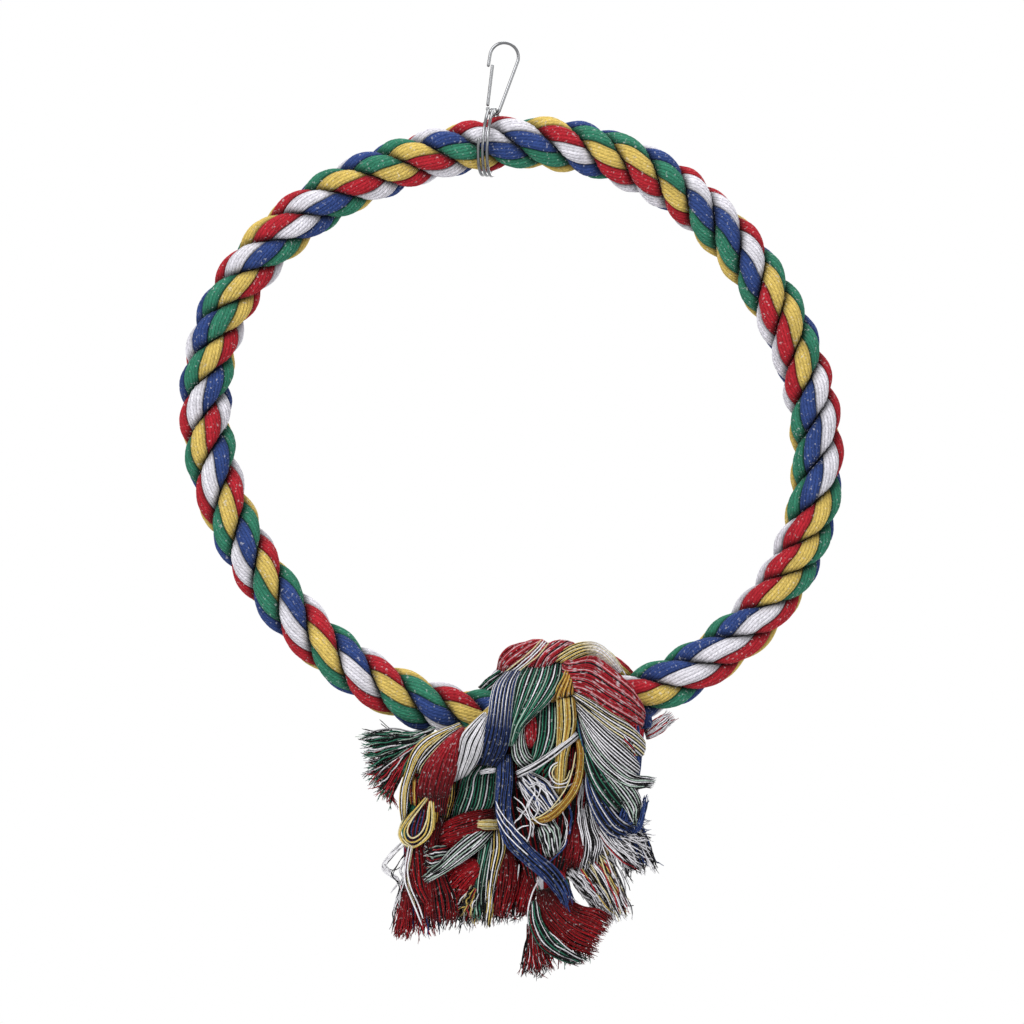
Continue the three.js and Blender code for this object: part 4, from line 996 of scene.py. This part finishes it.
        lock("open", "mkwkrk", [462, 955, 468, 1040, -16], [410, 960, 412, 1050, -19.5], [368, 972, 370, 1050, -21.5],
             fray=0.8, uneven=0.2),
        lock("brush", "e", [590, 1010, 610, 1060, -14.5], [530, 1020, 590, 1095, -15.5], [465, 1050, 555, 1140, -15.5],
             [428, 1092, 518, 1182, -15], rootShade=0.4),
        lock("wisp", "ykcwkryk", [570, 1095, 600, 1150, -15.2], [520, 1150, 575, 1215, -15.8],
             [482, 1195, 565, 1280, -15], radius=0.32, fill=8),
        lock("wisp", "kkdw", [400, 1200, 580, 1200, -11], [395, 1250, 585, 1250, -11], [385, 1300, 575, 1295, -11],
             radius=0.3),
        lock("wisp", "kkdw", [640, 1200, 790, 1190, -11], [645, 1245, 780, 1235, -11], [650, 1280, 760, 1270, -11],
             radius=0.3),
    ],
    "tassel_left": [
        lock("wisp", "gkwkm", [412, 450, 360, 500, -6], [320, 478, 290, 552, -6], [210, 470, 215, 612, -6],
             [88, 470, 122, 660, -6], fill=22, uneven=0.18, thick=2.6, radius=0.3),
        lock("wisp", "kwkgr", [370, 490, 330, 540, -6.5], [290, 540, 265, 612, -6.5], [200, 600, 212, 690, -6.5],
             [115, 650, 168, 755, -6.5], fill=16, uneven=0.18, thick=2.6, radius=0.3),
        lock("wisp", "rrkg", [330, 535, 305, 578, -7], [265, 600, 255, 672, -7], [205, 668, 228, 740, -7],
             [155, 718, 232, 790, -7], fill=12, uneven=0.2, thick=2.2, radius=0.3),
    ],
}
# Single threads: dye, radius, depths spread evenly along, points of the drawing and, if not one, the number of copies
threads = {
    "yarn_loop": [
        ("c", 0.4, [-22, -22], [388, 722, 350, 770, 300, 830, 262, 888, 257, 918, 283, 950, 310, 962, 345, 942, 380,
         897, 390, 830, 386, 765, 384, 735]),
        ("y", 0.38, [-22, -22], [392, 735, 345, 790, 300, 845, 272, 893, 284, 935, 320, 942, 360, 908, 377, 850, 381,
         790, 388, 740]),
        ("c", 0.36, [-22.5, -22], [378, 745, 340, 800, 300, 855, 284, 900, 305, 926, 342, 902, 367, 850, 374, 800, 384,
         750]),
        ("y", 0.36, [-23, -22], [384, 730, 330, 792, 285, 842, 254, 896, 262, 940, 300, 968, 350, 945, 386, 900, 396,
         835, 394, 770, 388, 728]),
        ("c", 0.36, [-21.5, -23], [268, 845, 255, 880, 250, 915, 266, 948, 295, 965]),
        ("y", 0.36, [-21, -21], [378, 712, 384, 740, 394, 790, 396, 850, 388, 905]),
        ("y", 0.34, [-21, -20], [396, 728, 404, 780, 402, 840, 396, 900]),
        ("o", 0.34, [-21, -20], [404, 745, 412, 800, 408, 860]),
        ("c", 0.34, [-21, -21], [366, 718, 378, 745, 384, 775]),
        ("w", 0.36, [-24, -19], [292, 958, 278, 1040, 275, 1110, 300, 1180, 325, 1240, 346, 1298]),
        ("w", 0.34, [-24, -19], [302, 962, 288, 1050, 298, 1130, 328, 1200, 352, 1270]),
        ("c", 0.3, [-23, -19], [310, 962, 296, 1030, 286, 1090, 296, 1150, 318, 1215]),
    ],
    "tassel_lower_left": [
        ("w", 0.22, [-21, -17], [285, 950, 240, 980, 190, 1032, 214, 1072, 246, 1108, 216, 1158], 3),
        ("k", 0.18, [-20, -17], [272, 958, 225, 1005, 195, 1045, 230, 1062, 262, 1040, 280, 1000]),
        ("w", 0.22, [-20, -17], [258, 945, 210, 992, 182, 1046, 220, 1090, 262, 1120, 270, 1150], 3),
        ("k", 0.18, [-20, -17], [280, 985, 250, 1030, 222, 1080, 248, 1120, 262, 1180], 2),
        ("w", 0.22, [-20, -17], [276, 1010, 258, 1060, 268, 1110, 250, 1170, 225, 1240], 3),
    ],
    "tassel_left": [
        ("k", 0.17, [-6, -6], [290, 505, 240, 482, 200, 452, 166, 424]),
        ("k", 0.17, [-6, -6], [300, 512, 220, 486, 150, 478, 92, 462]),
        ("k", 0.17, [-6, -6], [260, 500, 210, 470, 172, 440]),
        ("k", 0.17, [-6, -6], [250, 640, 215, 700, 210, 760, 216, 806]),
        ("w", 0.2, [-7, -7], [330, 540, 250, 600, 170, 660, 120, 720]),
    ],
    "knot_middle_strand": [
        ("w", 0.29, [-21, -21.5], [988, 636, 966, 686, 920, 694, 888, 662, 896, 622, 926, 602]),
        ("c", 0.29, [-21, -21.5], [976, 640, 958, 676, 922, 682, 900, 658, 908, 626, 934, 612]),
        ("w", 0.29, [-20.5, -20], [872, 700, 915, 712, 965, 704, 996, 690]),
        ("w", 0.29, [-23, -24.5], [735, 752, 778, 790, 806, 850, 806, 905, 790, 945, 758, 938, 742, 905, 768, 878, 800,
         872]),
        ("w", 0.22, [-22, -22], [826, 670, 848, 712, 832, 760, 842, 805, 820, 850], 2),
        ("w", 0.22, [-22, -22], [770, 668, 800, 705, 835, 690, 868, 715, 890, 760], 2),
        ("w", 0.22, [-22, -23], [800, 760, 778, 815, 752, 850, 735, 872], 2),
        ("w", 0.22, [-21.5, -21], [840, 690, 880, 745, 915, 790], 2),
        ("w", 0.22, [-21.5, -21], [760, 690, 800, 750, 850, 800, 905, 850], 2),
        ("w", 0.22, [-21.5, -22], [790, 660, 830, 730, 800, 790, 830, 850, 880, 870], 2),
        ("w", 0.22, [-22, -22], [748, 800, 790, 830, 820, 880, 812, 920], 2),
        ("c", 0.29, [-22.5, -22], [1000, 560, 985, 640, 955, 720, 905, 790, 850, 832, 800, 850]),
        ("c", 0.29, [-22, -22], [1012, 620, 990, 700, 940, 770, 880, 815]),
        ("w", 0.24, [-17, -19, -18], [1030, 670, 1012, 760, 1016, 860, 1034, 960], 3),
        ("w", 0.22, [-18, -18.5], [935, 800, 960, 870, 950, 940, 920, 990], 2),
        ("b", 0.24, [-18, -18.5], [950, 760, 985, 830, 970, 910], 3),
        ("c", 0.3, [-19, -18], [936, 585, 930, 640, 938, 690, 925, 730]),
    ],
    "loose_lock": [
        ("w", 0.24, [-26, -27.2], [660, 770, 682, 815, 713, 855, 754, 900, 795, 940]),
        ("w", 0.24, [-26, -27.4], [662, 806, 688, 856, 728, 902, 772, 950]),
        ("w", 0.26, [-26, -27.6], [666, 845, 698, 902, 742, 948, 798, 998]),
        ("b", 0.28, [-24.5, -20], [865, 1042, 910, 1008, 945, 972, 965, 932]),
        ("w", 0.26, [-25.5, -24], [900, 1100, 935, 1140, 970, 1170, 1010, 1200]),
        ("b", 0.28, [-25.5, -24], [930, 1130, 955, 1180, 965, 1215, 975, 1240]),
    ],
    "knot_top_wrap": [
        ("w", 0.3, [-11, -14, -14, -9], [706, 232, 762, 190, 817, 142, 866, 86]),
        ("w", 0.3, [-11.5, -14.5, -14.5, -9], [718, 236, 774, 194, 830, 144, 876, 92]),
        ("c", 0.3, [-11, -13.5, -13.5, -9], [696, 226, 750, 184, 802, 138, 854, 84]),
        ("c", 0.28, [-12, -15, -15, -10], [730, 238, 786, 198, 842, 148, 886, 96]),
        ("c", 0.34, [-7, -3], [1060, 108, 1120, 122, 1160, 152, 1200, 210]),
        ("w", 0.3, [-5, -2], [1100, 120, 1150, 150, 1180, 185, 1212, 235]),
    ],
    "knot_left_wrap": [
        ("k", 0.2, [-24, -24.5], [600, 420, 555, 480, 528, 560, 500, 640]),
    ],
    "tassel_bottom": [
        ("w", 0.34, [-19, -19], [842, 1100, 814, 1168, 796, 1240, 800, 1300]),
        ("w", 0.3, [-20.5, -20], [810, 1290, 840, 1350, 890, 1400, 960, 1440]),
        ("w", 0.28, [-21, -20], [850, 1290, 900, 1335, 960, 1390, 1020, 1432]),
        ("k", 0.18, [-16, -16], [880, 1470, 868, 1500, 850, 1518]),
        ("k", 0.18, [-16, -16], [806, 1380, 785, 1440, 770, 1478]),
    ],
    "tassel_middle": [
        ("w", 0.36, [-14.5, -13], [758, 1036, 750, 1100, 730, 1180, 706, 1256]),
        ("w", 0.3, [-15, -14], [660, 900, 648, 1000, 630, 1110, 622, 1270]),
        ("w", 0.3, [-19.5, -24], [600, 930, 540, 985, 470, 1040, 398, 1090]),
    ],
    "tassel_lower_right": [
        ("w", 0.36, [-16, -15], [1035, 700, 1024, 800, 1040, 900, 1042, 985, 1010, 1030]),
        ("w", 0.34, [-16, -15], [1056, 770, 1070, 850, 1100, 920, 1130, 1010, 1165, 1100]),
        ("w", 0.34, [-16, -14.5], [1080, 900, 1065, 990, 1090, 1060, 1140, 1140]),
        ("c", 0.34, [-16, -14], [1100, 1000, 1130, 1080, 1170, 1160, 1190, 1250]),
        ("w", 0.34, [-15.5, -14], [960, 1090, 1010, 1130, 1070, 1180, 1100, 1225]),
        ("w", 0.3, [-15.5, -14], [1000, 1070, 1060, 1100, 1120, 1160, 1150, 1220]),
        ("r", 0.3, [-15, -14], [1130, 1020, 1160, 1090, 1175, 1150, 1185, 1200]),
        ("y", 0.32, [-15, -14], [1110, 1010, 1135, 1060, 1150, 1120, 1180, 1170]),
        ("k", 0.18, [-14, -13], [1190, 1060, 1215, 1110, 1232, 1150]),
        ("k", 0.18, [-14, -13], [1180, 1180, 1215, 1212, 1245, 1210]),
    ],
}
slots.update({"loose_lock": "cotton_blue", "yarn_loop": "cotton_yellow"})
for name, parts in locks.items():
    for made in parts:
        layLock(heaps.setdefault(name, Heap()), **made)
for name, parts in threads.items():
    for thread in parts:
        layThread(heaps[name], *thread)
for name, heap in heaps.items():
    first, *rest = name.split("_")
    heap.build(first + "".join(word.title() for word in rest), cotton, "ring", [name], slots[name])
print("locks laid")


# Wire: the coil winds round the rope and through the clip's lower bend
wire = {
    "diameter": 1.2, "sides": 14, "step": 0.45, "dye": np.array([0.7, 0.7, 0.7]),
    # rings of the rounded ends and the first ring past them, in radii from the tip
    "endRings": np.array([0, 0.03, 0.12, 0.3, 0.6, 1.0]), "pastEnd": 1.5,
    "coil": {"origin": (-7.0943, 0, -35.8469), "right": (0.97278, -0.16677, -0.16087), "up": (0.16316, 0, 0.9866),
             "radius": 12.561, "pitch": 1.65, "turns": 2.3, "middleTurn": 1.25, "steps": 500},
    "clip": {"origin": (-5.0449, 0, -23.4542), "right": (0.97667, 0, -0.21474), "up": (0.21474, 0, 0.97667),
             "bend": 2.325, "crown": (0.9, 19.4), "crownRadius": 5.3, "claw": 4.6, "overlap": 1.2, "gap": 0.3},
}


def placed(part, points):
    right, up = np.array(part["right"]), np.array(part["up"])
    return np.array(part["origin"]) + points @ np.array([right, np.cross(up, right), up])


# A wire with rounded ends: the radius falls as a quarter circle over the last stretch
def wirePiece(name, path, body, node):
    steps = np.linalg.norm(np.diff(path, axis=0), axis=1)
    travelled = np.concatenate([[0], np.cumsum(steps)])
    radius = wire["diameter"] / 2
    ends, clear = wire["endRings"] * radius, wire["pastEnd"] * radius
    inside = np.arange(clear, travelled[-1] - clear, wire["step"])
    places = np.concatenate([ends, inside, travelled[-1] - ends[::-1]])
    line = np.stack([np.interp(places, travelled, path[:, k]) for k in range(3)], -1)
    depth = np.minimum(np.minimum(places, travelled[-1] - places) / radius, 1)
    radii = radius * np.sqrt(np.maximum(1 - (1 - depth) ** 2, 0.01))
    heap = Heap()
    heap.tubes(line[None], radii[None], wire["dye"], wire["sides"])
    heap.build(name, platedWire, body, [node], "plated_wire")


coil = wire["coil"]
turns = np.linspace(0, coil["turns"], coil["steps"])
spin = 2 * np.pi * turns
sideways = (turns - coil["middleTurn"]) * coil["pitch"]
coilPath = np.stack([sideways, -coil["radius"] * np.cos(spin), -coil["radius"] * np.sin(spin)], -1)
wirePiece("hangerCoil", placed(coil, coilPath), "hanger", "hanger_coil")

clip = wire["clip"]
crownX, crownZ = clip["crown"]
backAngle = math.atan2(crownZ, crownX) - math.acos((clip["bend"] - clip["crownRadius"]) / math.hypot(crownX, crownZ))


def arc(x, z, radius, first, last, count=120):
    angle = np.linspace(first, last, count)
    return np.stack([x + radius * np.cos(angle), 0 * angle, z + radius * np.sin(angle)], -1)


clawTop = np.array([[crownX - clip["crownRadius"], 0, crownZ - clip["claw"]]])
crown = arc(crownX, crownZ, clip["crownRadius"], math.pi, backAngle)
hookPath = np.concatenate([clawTop, crown, arc(0, 0, clip["bend"], backAngle, -math.pi)])
wirePiece("clipHook", placed(clip, hookPath), "clip", "clip_hook")
gateTop = (crownX - clip["crownRadius"] + wire["diameter"] + clip["gap"], 0, crownZ - clip["claw"] + clip["overlap"])
gatePath = np.array([(-clip["bend"], 0, clip["gap"]), gateTop])
wirePiece("clipGate", placed(clip, gatePath), "gate", "clip_gate")
print("wire bent")
